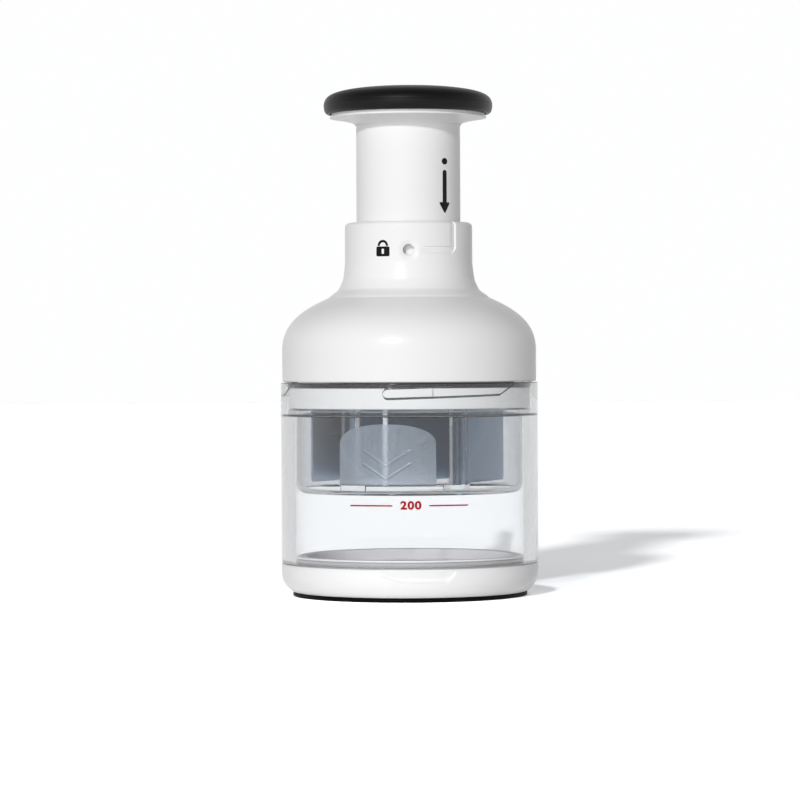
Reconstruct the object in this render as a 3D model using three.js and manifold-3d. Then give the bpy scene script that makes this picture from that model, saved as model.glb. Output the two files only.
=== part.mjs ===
// Hand press food chopper. A knob on a sprung plunger drives a zigzag blade down through a clear
// cup onto the cutting floor of the base. Millimetres, +Z up, the front of the object faces -Y.
// The origin is under the middle of the foot pad. Angles round the axis are in degrees, counted
// from the front and growing towards +X.
import * as THREE from 'three';
import { mergeVertices } from 'three/addons/utils/BufferGeometryUtils.js';
import Module from 'manifold-3d';

const wasm = await Module();
wasm.setup();

// Fits and facets shared by every piece
const seatGap = 0.3; // between a piece and what it stands on or is held by
const slideGap = 0.35; // round a piece that turns or slides in another
const overrun = 1; // how far a cutter passes through what it cuts
const weld = 0.6; // how far a joined feature is sunk into its parent
const ringFacets = 32; // round the large pieces
const smallFacets = 20; // round the shafts, bushes and sleeves
const screwFacets = 10;
const railStep = 4; // degrees between the stations of a curved patch

// Strokes: the knob's travel, the blade's turn in that travel and the turn that locks the knob
const pressStroke = 36;
const bladeTurn = 20;
const lockTurn = 44;

// Foot pad of black rubber
const footTuck = 0.05; // its edge lies this far inside the base's
const footHeight = 1.8;
const footEdge = 0.5;
const footSpigotWall = 2;
const footSpigotHeight = 2.8;

// Base lid with its cutting floor, and the seal round its plug
const baseTuck = 0.05; // the base's side lies this far inside the cup's
const baseDraw = 4.7; // how far its side draws in towards the foot
const baseHeight = 11.95;
const baseWall = 2.3;
const baseFootWall = 2.55; // round the foot pad's spigot
const baseEdge = 0.6;
const baseBendShares = [0.16, 0.4, 0.6, 0.72]; // of the height: two bends, the inner wall's and the top
const baseBendInShare = 0.6; // of the draw, at the lower bend
const plugGap = 0.5; // between the plug and the cup
const plugHeight = 3.4;
const plugWall = 4.1;
const plugEdge = 0.5;
const floorSink = 5.1; // the cutting floor lies this far under the plug's top
const floorWall = 2.2;
const sealGrooveDepth = 1.5;
const baseSealWidth = 1.4;
const baseSealProud = 0.3;
const sealFoot = 1; // the seal lies this far above the base's rim
const scoopMiddle = 2; // degrees: a finger scoop in the base's front
const scoopSpan = 33; // degrees
const scoopHeight = 4.9;
const scoopTop = 0.6; // under the base's rim
const scoopDepth = 1.1;
const scoopLeftShare = 0.333; // of the span, where the left end is fully open
const scoopRightShare = 0.083;
const scoopFullShare = 0.98; // of the height, where it is fully open

// Clear cup
const cupRadius = 54.5;
const cupHeight = 76.1;
const cupWall = 5.9;
const mouthWall = 2.5; // above the inner ledge, where the housing plugs in
const mouthDepth = 13.7; // from the cup's top down to the ledge
const cupEdge = 0.6;
const channelDepth = 1.1; // bayonet channels cut in the mouth's wall

// Bayonet: three lugs on the cover run in the cup's channels, on a shallow helix
const lugCount = 3;
const lugStart = -11.5; // degrees
const lugSpan = 21.8; // degrees
const lugHeight = 3.7;
const lugProud = 1.4;
const lugRise = 4.6; // from the skirt's lower edge to the lug's
const lugEndSpan = 2.2; // degrees of the rounded leading end
const lugTipShare = 0.14; // of the height, at the very end
const lugSteps = 4;
const twistTurn = 32; // degrees to the channel's open mouth
const twistRise = 0.85; // the helix lifts the housing this much in that turn
const roofSpan = 30.8; // degrees from the lug's start to the end of the channel's roof
const rampSpan = 56; // degrees from the lug's start to the foot of the entry slope
const entrySpan = 67; // degrees from the lug's start to the top of the entry slope
const channelSlack = 1.4; // degrees past the lug's leading end

// Cover: it closes the housing from below, and its skirt enters the cup
const skirtGap = 0.7; // between the skirt and the cup's mouth
const skirtWall = 2;
const coverFloorWall = 2.2;
const coverNeckWall = 2.3;
const coverNeckHeight = 5.3;
const coverBossRadius = 8;
const coverBossDrop = 2.2;
const coverSealWidth = 2; // rim seal, on the skirt's top
const rimSealHeight = 1.4;
const coverScrewCount = 3;
const coverScrewStart = 60; // degrees
const postRadius = 3.5;

// Housing shell: collar, shoulder and skirt in one moulding
const housingTuck = 0.65; // its side lies this far inside the cup's
const housingWall = 2.4;
const housingEdge = 0.6;
const lowerFlangeHeight = 2.5;
const collarWall = 2.4;
const collarEdge = 2;
const collarTurnShares = [0, 0.134, 0.5]; // of the edge: a quarter turn's points
const collarLip = 2.4; // the collar's top closes over the bushing
const collarStraight = 19.1; // from the collar's top down to the start of the flare
const flareHeight = 12.6;
const flareWidth = 7; // how far it widens from the collar
const flareBendShares = [[0.27, 0.17], [0.13, 0.4]]; // of its width and height
const shoulderBendShares = [[1, 0.54], [0.53, 0.79]]; // of the shoulder's width and height
const skirtTop = 13.3; // from the housing's lower edge up to the end of the shoulder
const flareSteps = 4;
const shoulderSteps = 5;
const neckStepHeight = 1.8; // the bushing's flange sits under this step
const lockHoleRadius = 2.35;
const lockHoleDrop = 12.1; // under the collar's top
const lockDishRadius = 4.95;
const lockDishDepth = 1;
const trackWidth = 2.7; // shallow groove from the collar's top to the lock hole
const trackDepth = 0.6;
const trackTopDrop = 2.8;

// Bushing that guides the plunger, and the sleeve with the two lock catches
const bushingWall = 1.9;
const bushingFlange = 1.9;
const bushingFlangeHeight = 1.9;
const bushingDrop = 9.15; // it ends this far under the top of the flare
const lockSleeveWall = 2;
const lockSleeveDrop = 1.05; // it ends this far under the raised plunger's foot
const catchHeight = 3.5;
const catchSlack = 5; // degrees between a catch and the lug's way down

// Plunger tube and the knob on it
const plungerWall = 2;
const plungerRoom = 1.85; // between the tube and the knob screws' heads
const plungerStop = 1.65; // between its foot, pressed down, and the cover
const knobStop = 5.55; // between the knob, pressed down, and the collar
const webThickness = 2.5;
const webDrop = 9.9; // from the tube's top down to the web's underside
const lockLugCount = 2;
const lockLugAngle = 90; // degrees
const lockLugSpan = 18; // degrees
const lockLugHeight = 3.5;
const lockLugProud = 3.85;
const knobRadius = 35.65;
const knobHeight = 16.6; // from the flange's underside to the crown
const knobFlangeTuck = 2.35; // the flange lies this far inside the knob's edge
const knobFlangeRise = 3.5; // the cone under the knob
const knobFlangeEdge = 0.5;
const knobCapWall = 3.1;
const knobCapLip = 1.5;
const knobCoreDome = 2.6;
const knobCoreShoulder = 2.4;
const knobSideShares = [[0.93, 0.15], [1, 0.33], [0.93, 0.46], [0.55, 0.58]]; // of its lip and height
const knobCrownShares = [[0.853, 0.73], [0.684, 0.85], [0.37, 0.96]]; // of its radius and height
const knobSocketDepth = 6.4;
const knobCavityRoom = 2.5; // round the thrust washer
const knobCavityHeight = 7.7;
const knobScrewCount = 2;
const knobScrewStart = 90; // degrees
const knobScrewRoom = 0.4; // between the spring cap and the screws' heads

// Ram: the cap that the return spring lifts, and the washer on the web
const springCapProud = 0.6; // past the spring's outside
const springCapHeight = 3.5;
const washerRadius = 9;
const washerHeight = 1;
const clipRadius = 7.5;
const clipHeight = 1.2;
const springWire = 2;
const springRoom = 1; // between the spring and the index sleeve
const springCurls = 10;
const springSteps = 8; // a curl
const springSides = 5;

// Cutter: shaft, cross pin, carrier and zigzag blade
const shaftRadius = 4;
const shaftShoulderRadius = 6;
const shaftShoulderHeight = 2;
const shaftHeadHeight = 3;
const shaftGrooveDepth = 0.9;
const pinRadius = 1.5;
const pinFoot = 3.3; // above the index sleeve's flange, knob down
const carrierGap = 0.4; // between the carrier and the cage
const carrierThickness = 4;
const carrierHubRadius = 7;
const carrierHubHeight = 1.7;
const carrierSocketDepth = 2.9;
const bladeTuck = 0.4; // its folds end this far inside the carrier's edge
const bladeThickness = 0.8;
const bladeFoldSetback = 1.4; // from the reach in to a fold's middle line
const bladeTang = 1.4; // the part held in the carrier
const bladeFoldAngles = [-76, -149.7, -35.2, 144.8, 30.3, 104]; // degrees, folds and ends in order

// Index sleeve: the cross pin runs in its two helical slots and turns the cutter
const indexRoom = 2.5; // between the shaft and the sleeve
const indexWall = 2.5;
const indexHead = 8.3; // above the raised pin
const indexFlangeProud = 1; // past the spring's outside
const indexFlangeHeight = 1.7;
const slotCount = 2;
const slotStart = 90; // degrees
const slotSteps = 6;

// Guard round the blade, hung under the cover, with the clear cage inside it
const guardGap = 0.7; // between the guard and the cup
const guardWall = 1.7;
const guardBelowBlade = 4.7; // from the raised blade's edge down to the guard's
const guardCurve = 4; // the lower edge curls inwards
const curlSteps = 3;
const guardFlangeHeight = 2.2;
const guardFlangeGap = 0.6; // between the flange and the cup's mouth
const guardSpigotHeight = 4.8;
const guardSpigotGap = 0.4;
const archMiddle = -12.5; // degrees: raised, arched grip on the guard's front
const archSpan = 52; // degrees
const archRise = 4.6; // from the guard's lower edge to the arch's foot
const archTopDrop = 0.5; // under the flange
const archSideShare = 0.6786; // of its height, where the sides start to bow in
const archBowPower = 2.4; // 2 is an ellipse, and more is squarer
const archProud = 0.15;
const chevronProud = 0.3;
const chevronCount = 2;
const chevronHalfSpan = 13.4; // degrees
const chevronDrop = 6;
const chevronPitch = 5.7;
const chevronStroke = 0.8;
const chevronTopShare = 0.6286; // of the arch's height
const cageWall = 3.6; // depth of the posts
const cageRingWall = 1.6; // depth of the ring inside the guard
const cageRingHeight = 1.6;
const postAngles = [-35.2, 25.8, 144.8, 205.8]; // degrees
const postSpan = 8.6; // degrees
const cageFootSpan = 15.2; // degrees
const cageFootGap = 0.45; // between the feet and the guard's curled edge
const cageFootHeight = 4.5;
const ribAngle = -12.3; // degrees
const ribSpan = 3; // degrees

// Screws
const screwRadius = 1.5;
const screwHeadRadius = 2.6;
const screwHeadHeight = 2.1;
const screwLength = 9;
const screwSlack = 0.2;

// Colours as the pieces look in daylight
const finish = {
  white: { color: 0xf1f0f0, roughness: 0.28, metalness: 0 },
  softBlack: { color: 0x101011, roughness: 0.75, metalness: 0 },
  clear: { color: 0xe6ebee, roughness: 0.08, metalness: 0 },
  smoke: { color: 0xb4b8bd, roughness: 0.3, metalness: 0 },
  steel: { color: 0x8d9399, roughness: 0.3, metalness: 1 },
  zinc: { color: 0xa9abad, roughness: 0.4, metalness: 1 },
  seal: { color: 0x8b8388, roughness: 0.7, metalness: 0 },
  acetal: { color: 0xd8d6d0, roughness: 0.4, metalness: 0 },
};

// Tools for making, joining and cutting closed meshes

function point(angle, radius, z) {
  const turn = THREE.MathUtils.degToRad(angle);
  return new THREE.Vector3(radius * Math.sin(turn), -radius * Math.cos(turn), z);
}

function signedVolume(places, corners) {
  const [a, b, c] = [new THREE.Vector3(), new THREE.Vector3(), new THREE.Vector3()];
  let sum = 0;
  for (let i = 0; i < corners.length; i += 3) {
    a.fromArray(places, 3 * corners[i]);
    b.fromArray(places, 3 * corners[i + 1]);
    c.fromArray(places, 3 * corners[i + 2]);
    sum += a.dot(b.cross(c));
  }
  return sum;
}

function toSolid(geometry) {
  const bare = geometry.clone();
  for (const name of Object.keys(bare.attributes)) {
    if (name !== 'position') bare.deleteAttribute(name);
  }
  const merged = mergeVertices(bare);
  const places = merged.attributes.position.array;
  const index = merged.index.array;
  const corners = [];
  for (let i = 0; i < index.length; i += 3) {
    const [a, b, c] = [index[i], index[i + 1], index[i + 2]];
    if (a !== b && b !== c && c !== a) corners.push(a, b, c);
  }
  if (signedVolume(places, corners) < 0) corners.reverse();
  return new wasm.Manifold(new wasm.Mesh({
    numProp: 3,
    vertProperties: new Float32Array(places),
    triVerts: new Uint32Array(corners),
  }));
}

function toGeometry(solid) {
  const mesh = solid.getMesh();
  const geometry = new THREE.BufferGeometry();
  geometry.setAttribute('position', new THREE.BufferAttribute(mesh.vertProperties, 3));
  geometry.setIndex(new THREE.BufferAttribute(mesh.triVerts, 1));
  geometry.computeVertexNormals();
  return geometry;
}

// A ring or disc turned from [radius, z] points. The outline closes on itself or on the axis.
function turned(outline, facets = ringFacets) {
  const points = outline.map(([radius, z]) => new THREE.Vector2(radius, z));
  const [first, last] = [points[0], points[points.length - 1]];
  if (first.x > 0 || last.x > 0) points.push(first.clone());
  return toSolid(new THREE.LatheGeometry(points, facets).rotateX(Math.PI / 2));
}

// A patch on a cylinder between two rails of [angle, z] stations, from one radius to another
function patch(lowRail, highRail, innerRadius, outerRadius) {
  const places = [];
  for (let i = 0; i < lowRail.length; i++) {
    for (const [rail, radius] of [
      [lowRail, innerRadius], [lowRail, outerRadius], [highRail, outerRadius], [highRail, innerRadius],
    ]) {
      places.push(...point(rail[i][0], radius, rail[i][1]).toArray());
    }
  }
  const corners = [];
  for (let i = 0; i + 1 < lowRail.length; i++) {
    for (let side = 0; side < 4; side++) {
      const [a, b] = [4 * i + side, 4 * i + (side + 1) % 4];
      corners.push(a, b, b + 4, a, b + 4, a + 4);
    }
  }
  const last = places.length / 3 - 4;
  corners.push(0, 2, 1, 0, 3, 2, last, last + 1, last + 2, last, last + 2, last + 3);
  const geometry = new THREE.BufferGeometry();
  geometry.setAttribute('position', new THREE.Float32BufferAttribute(places, 3));
  geometry.setIndex(corners);
  return toSolid(geometry);
}

// Stations from one angle to another, with z from a function
function rail(from, to, height) {
  const steps = Math.max(1, Math.ceil(Math.abs(to - from) / railStep));
  return Array.from({ length: steps + 1 }, (_, i) => {
    const angle = i < steps ? from + (to - from) * i / steps : to;
    return [angle, height(angle)];
  });
}

function block(from, to, low, high, innerRadius, outerRadius) {
  return patch(rail(from, to, () => low), rail(from, to, () => high), innerRadius, outerRadius);
}

// An upright round bar
function bar(radius, low, high, x = 0, y = 0, facets = screwFacets) {
  const geometry = new THREE.CylinderGeometry(radius, radius, high - low, facets);
  return toSolid(geometry.rotateX(Math.PI / 2).translate(x, y, (low + high) / 2));
}

// A round bar that points straight out of the front
function frontBar(radius, near, far, z) {
  const geometry = new THREE.CylinderGeometry(radius, radius, far - near, smallFacets);
  return toSolid(geometry.translate(0, -(near + far) / 2, z));
}

function onCircle(count, radius, start = 0) {
  return Array.from({ length: count }, (_, i) => point(start + 360 * i / count, radius, 0));
}

const object = new THREE.Group();

function add(name, solid, look) {
  const mesh = new THREE.Mesh(toGeometry(solid), new THREE.MeshStandardMaterial(finish[look]));
  mesh.name = name;
  object.add(mesh);
}

// Heights, worked out from the bottom up
const baseBottom = footHeight + seatGap / 2;
const baseRim = baseBottom + baseHeight;
const plugTop = baseRim + plugHeight;
const floorTop = plugTop - floorSink;
const cupBottom = baseRim + seatGap;
const cupTop = cupBottom + cupHeight;
const ledge = cupTop - mouthDepth;
const guardFlangeBottom = ledge + seatGap;
const guardFlangeTop = guardFlangeBottom + guardFlangeHeight;
const skirtBottom = guardFlangeTop + seatGap;
const skirtShoulder = cupTop - rimSealHeight - seatGap;
const coverFloorTop = skirtShoulder - seatGap;
const coverFloorBottom = coverFloorTop - coverFloorWall;
const housingBottom = cupTop + seatGap;
const plungerBottom = coverFloorTop + plungerStop + pressStroke;
const bushingBottom = plungerBottom + lockLugHeight + seatGap;
const flareTop = bushingBottom + bushingDrop;
const flareEnd = flareTop - flareHeight;
const housingTop = flareTop + collarStraight;
const knobBottom = housingTop + knobStop + pressStroke;
const plungerTop = knobBottom + knobSocketDepth - seatGap;

// The cutter hangs with its hub under the cover's boss, and its edge reaches the cutting floor
const hubTop = coverFloorBottom - coverBossDrop - seatGap;
const carrierTop = hubTop - carrierHubHeight;
const carrierBottom = carrierTop - carrierThickness;
const bladeEdge = floorTop + seatGap + pressStroke;
const guardBottom = bladeEdge - guardBelowBlade;

// Radii from the cup inwards
const cupInner = cupRadius - cupWall;
const mouthRadius = cupRadius - mouthWall;
const baseRadius = cupRadius - baseTuck;
const baseFootRadius = baseRadius - baseDraw;
const footRadius = baseFootRadius - footTuck;
const footSpigotRadius = baseFootRadius - baseFootWall - seatGap;
const plugRadius = cupInner - plugGap;
const housingRadius = cupRadius - housingTuck;
const skirtRadius = mouthRadius - skirtGap;
const skirtInner = skirtRadius - skirtWall;
const coverNeckInner = skirtInner - coverNeckWall;
const guardRadius = cupInner - guardGap;
const guardInner = guardRadius - guardWall;
const cageOuter = guardInner - seatGap;
const cageInner = cageOuter - cageWall;
const cageRingInner = cageOuter - cageRingWall;
const carrierRadius = cageInner - carrierGap;
const bladeReach = carrierRadius - bladeTuck;

// Radii from the shaft outwards
const screwBore = screwRadius + screwSlack;
const shaftBore = shaftRadius + slideGap;
const indexInner = shaftRadius + indexRoom;
const indexOuter = indexInner + indexWall;
const springMeanRadius = indexOuter + springRoom + springWire / 2;
const springOuter = springMeanRadius + springWire / 2;
const springCapRadius = springOuter + springCapProud;
const knobScrewCircle = springCapRadius + knobScrewRoom + screwHeadRadius;
const plungerInner = knobScrewCircle + screwHeadRadius + plungerRoom;
const plungerRadius = plungerInner + plungerWall;
const bushingInner = plungerRadius + slideGap;
const bushingOuter = bushingInner + bushingWall;
const neckBore = bushingOuter + seatGap;
const collarRadius = neckBore + collarWall;
const flareRadius = collarRadius + flareWidth;
const sleeveInner = plungerRadius + lockLugProud + slideGap;
const sleeveOuter = sleeveInner + lockSleeveWall;

// The cover's screws stand midway between the lock sleeve and the cage's ring
const coverScrewCircle = (sleeveOuter + postRadius + cageRingInner - screwHeadRadius) / 2;

const footPad = turned([
  [0, 0],
  [footRadius - footEdge, 0],
  [footRadius, footEdge],
  [footRadius, footHeight],
  [footSpigotRadius, footHeight],
  [footSpigotRadius, footHeight + footSpigotHeight],
  [footSpigotRadius - footSpigotWall, footHeight + footSpigotHeight],
  [footSpigotRadius - footSpigotWall, footHeight],
  [0, footHeight],
]);
add('foot_pad', footPad, 'softBlack');

// Base lid: a bowl-sided tray whose plug enters the cup. Its side is a quarter curve.
const [lowBend, highBend, innerBend, sideTop] = baseBendShares.map(
  (share) => baseBottom + baseHeight * share);
const sideCurve = new THREE.CubicBezierCurve(
  new THREE.Vector2(baseFootRadius, baseBottom),
  new THREE.Vector2(baseFootRadius + baseDraw * baseBendInShare, lowBend),
  new THREE.Vector2(baseRadius, highBend),
  new THREE.Vector2(baseRadius, sideTop),
);
const sideSteps = 4;
const basePlugInner = plugRadius - plugWall;
const sealGrooveRadius = plugRadius - sealGrooveDepth;
const sealLow = baseRim + sealFoot;
const sealHigh = sealLow + baseSealWidth;
const spigotPocket = footSpigotRadius + seatGap;
const underRim = baseRim - baseWall;
let baseLid = turned([
  ...sideCurve.getPoints(sideSteps).map((p) => [p.x, p.y]),
  [baseRadius, baseRim - baseEdge],
  [baseRadius - baseEdge, baseRim],
  [plugRadius, baseRim],
  [plugRadius, sealLow - seatGap],
  [sealGrooveRadius, sealLow - seatGap],
  [sealGrooveRadius, sealHigh + seatGap],
  [plugRadius, sealHigh + seatGap],
  [plugRadius, plugTop - plugEdge],
  [plugRadius - plugEdge, plugTop],
  [basePlugInner, plugTop],
  [basePlugInner, floorTop],
  [0, floorTop],
  [0, floorTop - floorWall],
  [basePlugInner - plugEdge, floorTop - floorWall],
  [basePlugInner - plugEdge, underRim],
  [baseRadius - baseWall, underRim],
  [baseRadius - baseWall, innerBend],
  [spigotPocket, baseBottom + footSpigotHeight],
  [spigotPocket, baseBottom],
]);
const scoopLow = baseRim - scoopTop - scoopHeight;
const scoopStart = scoopMiddle - scoopSpan / 2;
const scoopEnd = scoopMiddle + scoopSpan / 2;
const scoopOpening = (angle) => {
  const share = (angle - scoopStart) / scoopSpan;
  return scoopFullShare * Math.min(1, Math.sqrt(share / scoopLeftShare),
    Math.sqrt((1 - share) / scoopRightShare));
};
baseLid = baseLid.subtract(patch(
  rail(scoopStart, scoopEnd, (angle) => scoopLow + scoopHeight * (1 - scoopOpening(angle))),
  rail(scoopStart, scoopEnd, () => scoopLow + scoopHeight),
  baseRadius - scoopDepth,
  baseRadius + overrun,
));
add('base_lid', baseLid, 'white');

const baseSealOuter = plugRadius + baseSealProud;
const baseSeal = turned([
  [sealGrooveRadius + seatGap, sealLow],
  [baseSealOuter - baseSealProud, sealLow],
  [baseSealOuter, (sealLow + sealHigh) / 2],
  [baseSealOuter - baseSealProud, sealHigh],
  [sealGrooveRadius + seatGap, sealHigh],
]);
add('base_seal', baseSeal, 'seal');

// Bayonet helix: how high a point of it lies above the lug's leading end
const helixPitch = twistRise / twistTurn;
const lugLow = skirtBottom + lugRise;
const lugBottomAt = (angle) => lugLow + (angle - lugStart) * helixPitch;

let cup = turned([
  [cupInner, cupBottom],
  [cupRadius - cupEdge, cupBottom],
  [cupRadius, cupBottom + cupEdge],
  [cupRadius, cupTop - cupEdge],
  [cupRadius - cupEdge, cupTop],
  [mouthRadius, cupTop],
  [mouthRadius, ledge],
  [cupInner, ledge],
]);
for (let i = 0; i < lugCount; i++) {
  const turn = 360 * i / lugCount;
  const floorAt = (angle) => lugBottomAt(angle - turn) - seatGap;
  const roofAt = (angle) => floorAt(angle) + lugHeight + 2 * seatGap;
  const from = turn + lugStart - channelSlack;
  const roofEnd = turn + lugStart + roofSpan;
  const rampFoot = turn + lugStart + rampSpan;
  const entryTop = turn + lugStart + entrySpan;
  const slope = (angle) => {
    const share = (angle - rampFoot) / (entryTop - rampFoot);
    return floorAt(angle) + (cupTop + overrun - floorAt(angle)) * share;
  };
  const open = () => cupTop + 2 * overrun;
  const ramp = rail(rampFoot, entryTop, slope).slice(1);
  cup = cup.subtract(patch(
    [...rail(from, roofEnd, floorAt), ...rail(roofEnd, rampFoot, floorAt), ...ramp],
    [...rail(from, roofEnd, roofAt), ...rail(roofEnd, rampFoot, open),
      ...ramp.map(([angle]) => [angle, open()])],
    mouthRadius - overrun,
    mouthRadius + channelDepth,
  ));
}
add('cup', cup, 'clear');

// Rim seal: it lies on the skirt's shoulder, inside the cup's mouth
const rimSealInner = skirtInner + slideGap;
const rimSeal = turned([
  [rimSealInner, skirtShoulder + seatGap],
  [rimSealInner + coverSealWidth, skirtShoulder + seatGap],
  [rimSealInner + coverSealWidth, skirtShoulder + seatGap + rimSealHeight],
  [rimSealInner, skirtShoulder + seatGap + rimSealHeight],
]);
add('rim_seal', rimSeal, 'seal');

const coverScrewPlaces = onCircle(coverScrewCount, coverScrewCircle, coverScrewStart);
const knobScrewPlaces = onCircle(knobScrewCount, knobScrewCircle, knobScrewStart);

// Cover with its skirt, lugs, neck and shaft bearing
let cover = turned([
  [shaftBore, coverFloorBottom - coverBossDrop],
  [coverBossRadius, coverFloorBottom - coverBossDrop],
  [coverBossRadius, coverFloorBottom],
  [skirtInner, coverFloorBottom],
  [skirtInner, skirtBottom],
  [skirtRadius, skirtBottom],
  [skirtRadius, skirtShoulder],
  [skirtInner, skirtShoulder],
  [skirtInner, skirtShoulder + coverNeckHeight],
  [coverNeckInner, skirtShoulder + coverNeckHeight],
  [coverNeckInner, coverFloorTop],
  [shaftBore, coverFloorTop],
]);
for (let i = 0; i < lugCount; i++) {
  const turn = 360 * i / lugCount;
  const roundEnd = (angle) => {
    const left = Math.min(1, (angle - turn - lugStart) / lugEndSpan);
    return lugHeight / 2 * Math.max(lugTipShare, Math.sqrt(left * (2 - left)));
  };
  const middleAt = (angle) => lugBottomAt(angle - turn) + lugHeight / 2;
  const stations = [0, lugEndSpan / 3, lugEndSpan];
  for (let step = 1; step <= lugSteps; step++) {
    stations.push(lugEndSpan + (lugSpan - lugEndSpan) * step / lugSteps);
  }
  const angles = stations.map((station) => turn + lugStart + station);
  const low = angles.map((angle) => [angle, middleAt(angle) - roundEnd(angle)]);
  const high = angles.map((angle) => [angle, middleAt(angle) + roundEnd(angle)]);
  cover = cover.add(patch(low, high, skirtRadius - weld, skirtRadius + lugProud - seatGap / 2));
}
for (const place of coverScrewPlaces) {
  cover = cover.subtract(
    bar(screwBore, coverFloorBottom - overrun, coverFloorTop + overrun, place.x, place.y));
}
add('bayonet_cover', cover, 'white');

// Housing shell. The outside runs up the skirt, over the shoulder and along the flare to the collar.
const shoulderFoot = housingBottom + skirtTop;
const bends = (shares, inner, outer, low, high) => shares.map(([wide, tall]) => (
  new THREE.Vector2(inner + (outer - inner) * wide, low + (high - low) * tall)));
const shoulder = new THREE.CubicBezierCurve(
  new THREE.Vector2(housingRadius, shoulderFoot),
  ...bends(shoulderBendShares, flareRadius, housingRadius, shoulderFoot, flareEnd),
  new THREE.Vector2(flareRadius, flareEnd),
);
const flare = new THREE.CubicBezierCurve(
  new THREE.Vector2(flareRadius, flareEnd),
  ...bends(flareBendShares, collarRadius, flareRadius, flareEnd, flareTop),
  new THREE.Vector2(collarRadius, flareTop),
);

// Points of a curve moved inwards by a wall, and those on the curve itself
function inset(curve, steps, wall) {
  return Array.from({ length: steps + 1 }, (_, i) => {
    const place = curve.getPoint(i / steps);
    const along = curve.getTangent(i / steps);
    return [place.x - wall * along.y, place.y + wall * along.x];
  });
}

const shoulderOutside = inset(shoulder, shoulderSteps, 0);
const flareOutside = inset(flare, flareSteps, 0).slice(1);
const collarTurn = collarTurnShares.map((share) => [
  collarRadius - collarEdge * share,
  housingTop - collarEdge * (1 - Math.sqrt(1 - (1 - share) ** 2)),
]);
const flangeBore = neckBore + bushingFlange;
const neckStep = bushingBottom + bushingFlangeHeight + seatGap;
const outside = turned([
  [0, housingBottom],
  [housingRadius - housingEdge, housingBottom],
  [housingRadius, housingBottom + housingEdge],
  ...shoulderOutside,
  ...flareOutside,
  ...collarTurn,
  [0, housingTop],
]);
const shoulderInside = inset(shoulder, shoulderSteps, housingWall);
const flareInside = inset(flare, flareSteps, housingWall)
  .slice(1)
  .filter(([radius, z]) => z < neckStep - neckStepHeight && radius > flangeBore);
const flangeInner = skirtInner + seatGap;
const collarLipRadius = plungerRadius + slideGap + seatGap;
const hollow = turned([
  [0, housingBottom - overrun],
  [flangeInner, housingBottom - overrun],
  [flangeInner, housingBottom + lowerFlangeHeight],
  [housingRadius - housingWall, housingBottom + lowerFlangeHeight],
  ...shoulderInside,
  ...flareInside,
  [flangeBore, neckStep - neckStepHeight],
  [flangeBore, neckStep],
  [neckBore, neckStep],
  [neckBore, housingTop - collarLip],
  [collarLipRadius, housingTop - collarLip],
  [collarLipRadius, housingTop + overrun],
  [0, housingTop + overrun],
]);
let housing = outside.subtract(hollow);
for (const place of coverScrewPlaces) {
  const post = bar(postRadius, skirtShoulder, housingTop, place.x, place.y, screwFacets);
  housing = housing.add(post.intersect(outside));
}
for (const place of coverScrewPlaces) {
  const pilotTop = coverFloorBottom + screwLength + seatGap;
  housing = housing.subtract(
    bar(screwBore, skirtShoulder - overrun, pilotTop, place.x, place.y));
}
const lockHoleHeight = housingTop - lockHoleDrop;
const dishBall = (lockDishRadius ** 2 + lockDishDepth ** 2) / (2 * lockDishDepth);
const dish = toSolid(new THREE.SphereGeometry(dishBall, ringFacets, smallFacets)
  .translate(0, -(collarRadius - lockDishDepth + dishBall), lockHoleHeight));
const trackHalf = trackWidth / 2;
const trackHalfSpan = THREE.MathUtils.radToDeg(trackHalf / collarRadius);
const trackFloor = collarRadius - trackDepth;
const trackOut = collarRadius + overrun;
housing = housing
  .subtract(dish)
  .subtract(frontBar(lockHoleRadius, bushingInner - overrun, collarRadius + overrun, lockHoleHeight))
  .subtract(block(lockTurn - trackHalfSpan, lockTurn + trackHalfSpan,
    lockHoleHeight - trackHalf, housingTop - trackTopDrop, trackFloor, trackOut))
  .subtract(block(0, lockTurn, lockHoleHeight - trackHalf, lockHoleHeight + trackHalf,
    trackFloor, trackOut));
add('housing_shell', housing, 'white');

let bushing = turned([
  [bushingInner, bushingBottom],
  [bushingOuter + bushingFlange - seatGap, bushingBottom],
  [bushingOuter + bushingFlange - seatGap, bushingBottom + bushingFlangeHeight],
  [bushingOuter, bushingBottom + bushingFlangeHeight],
  [bushingOuter, housingTop - collarLip - seatGap],
  [bushingInner, housingTop - collarLip - seatGap],
]);
bushing = bushing.subtract(
  frontBar(lockHoleRadius, bushingInner - overrun, bushingOuter + overrun, lockHoleHeight));
add('guide_bushing', bushing, 'acetal');

// Plunger: the lugs at its foot stop under the bushing, and lock under the catches
const webBottom = plungerTop - webDrop;
const webTop = webBottom + webThickness;
let plunger = turned([
  [plungerInner, plungerBottom],
  [plungerRadius, plungerBottom],
  [plungerRadius, plungerTop],
  [plungerInner, plungerTop],
  [plungerInner, webTop],
  [shaftBore, webTop],
  [shaftBore, webBottom],
  [plungerInner, webBottom],
]);
for (let i = 0; i < lockLugCount; i++) {
  const middle = lockLugAngle + 360 * i / lockLugCount;
  plunger = plunger.add(block(middle - lockLugSpan / 2, middle + lockLugSpan / 2,
    plungerBottom, plungerBottom + lockLugHeight, plungerRadius - weld, plungerRadius + lockLugProud));
}
for (const place of knobScrewPlaces) {
  plunger = plunger.subtract(
    bar(screwBore, webBottom - overrun, webTop + overrun, place.x, place.y));
}
add('plunger_tube', plunger, 'white');

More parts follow.
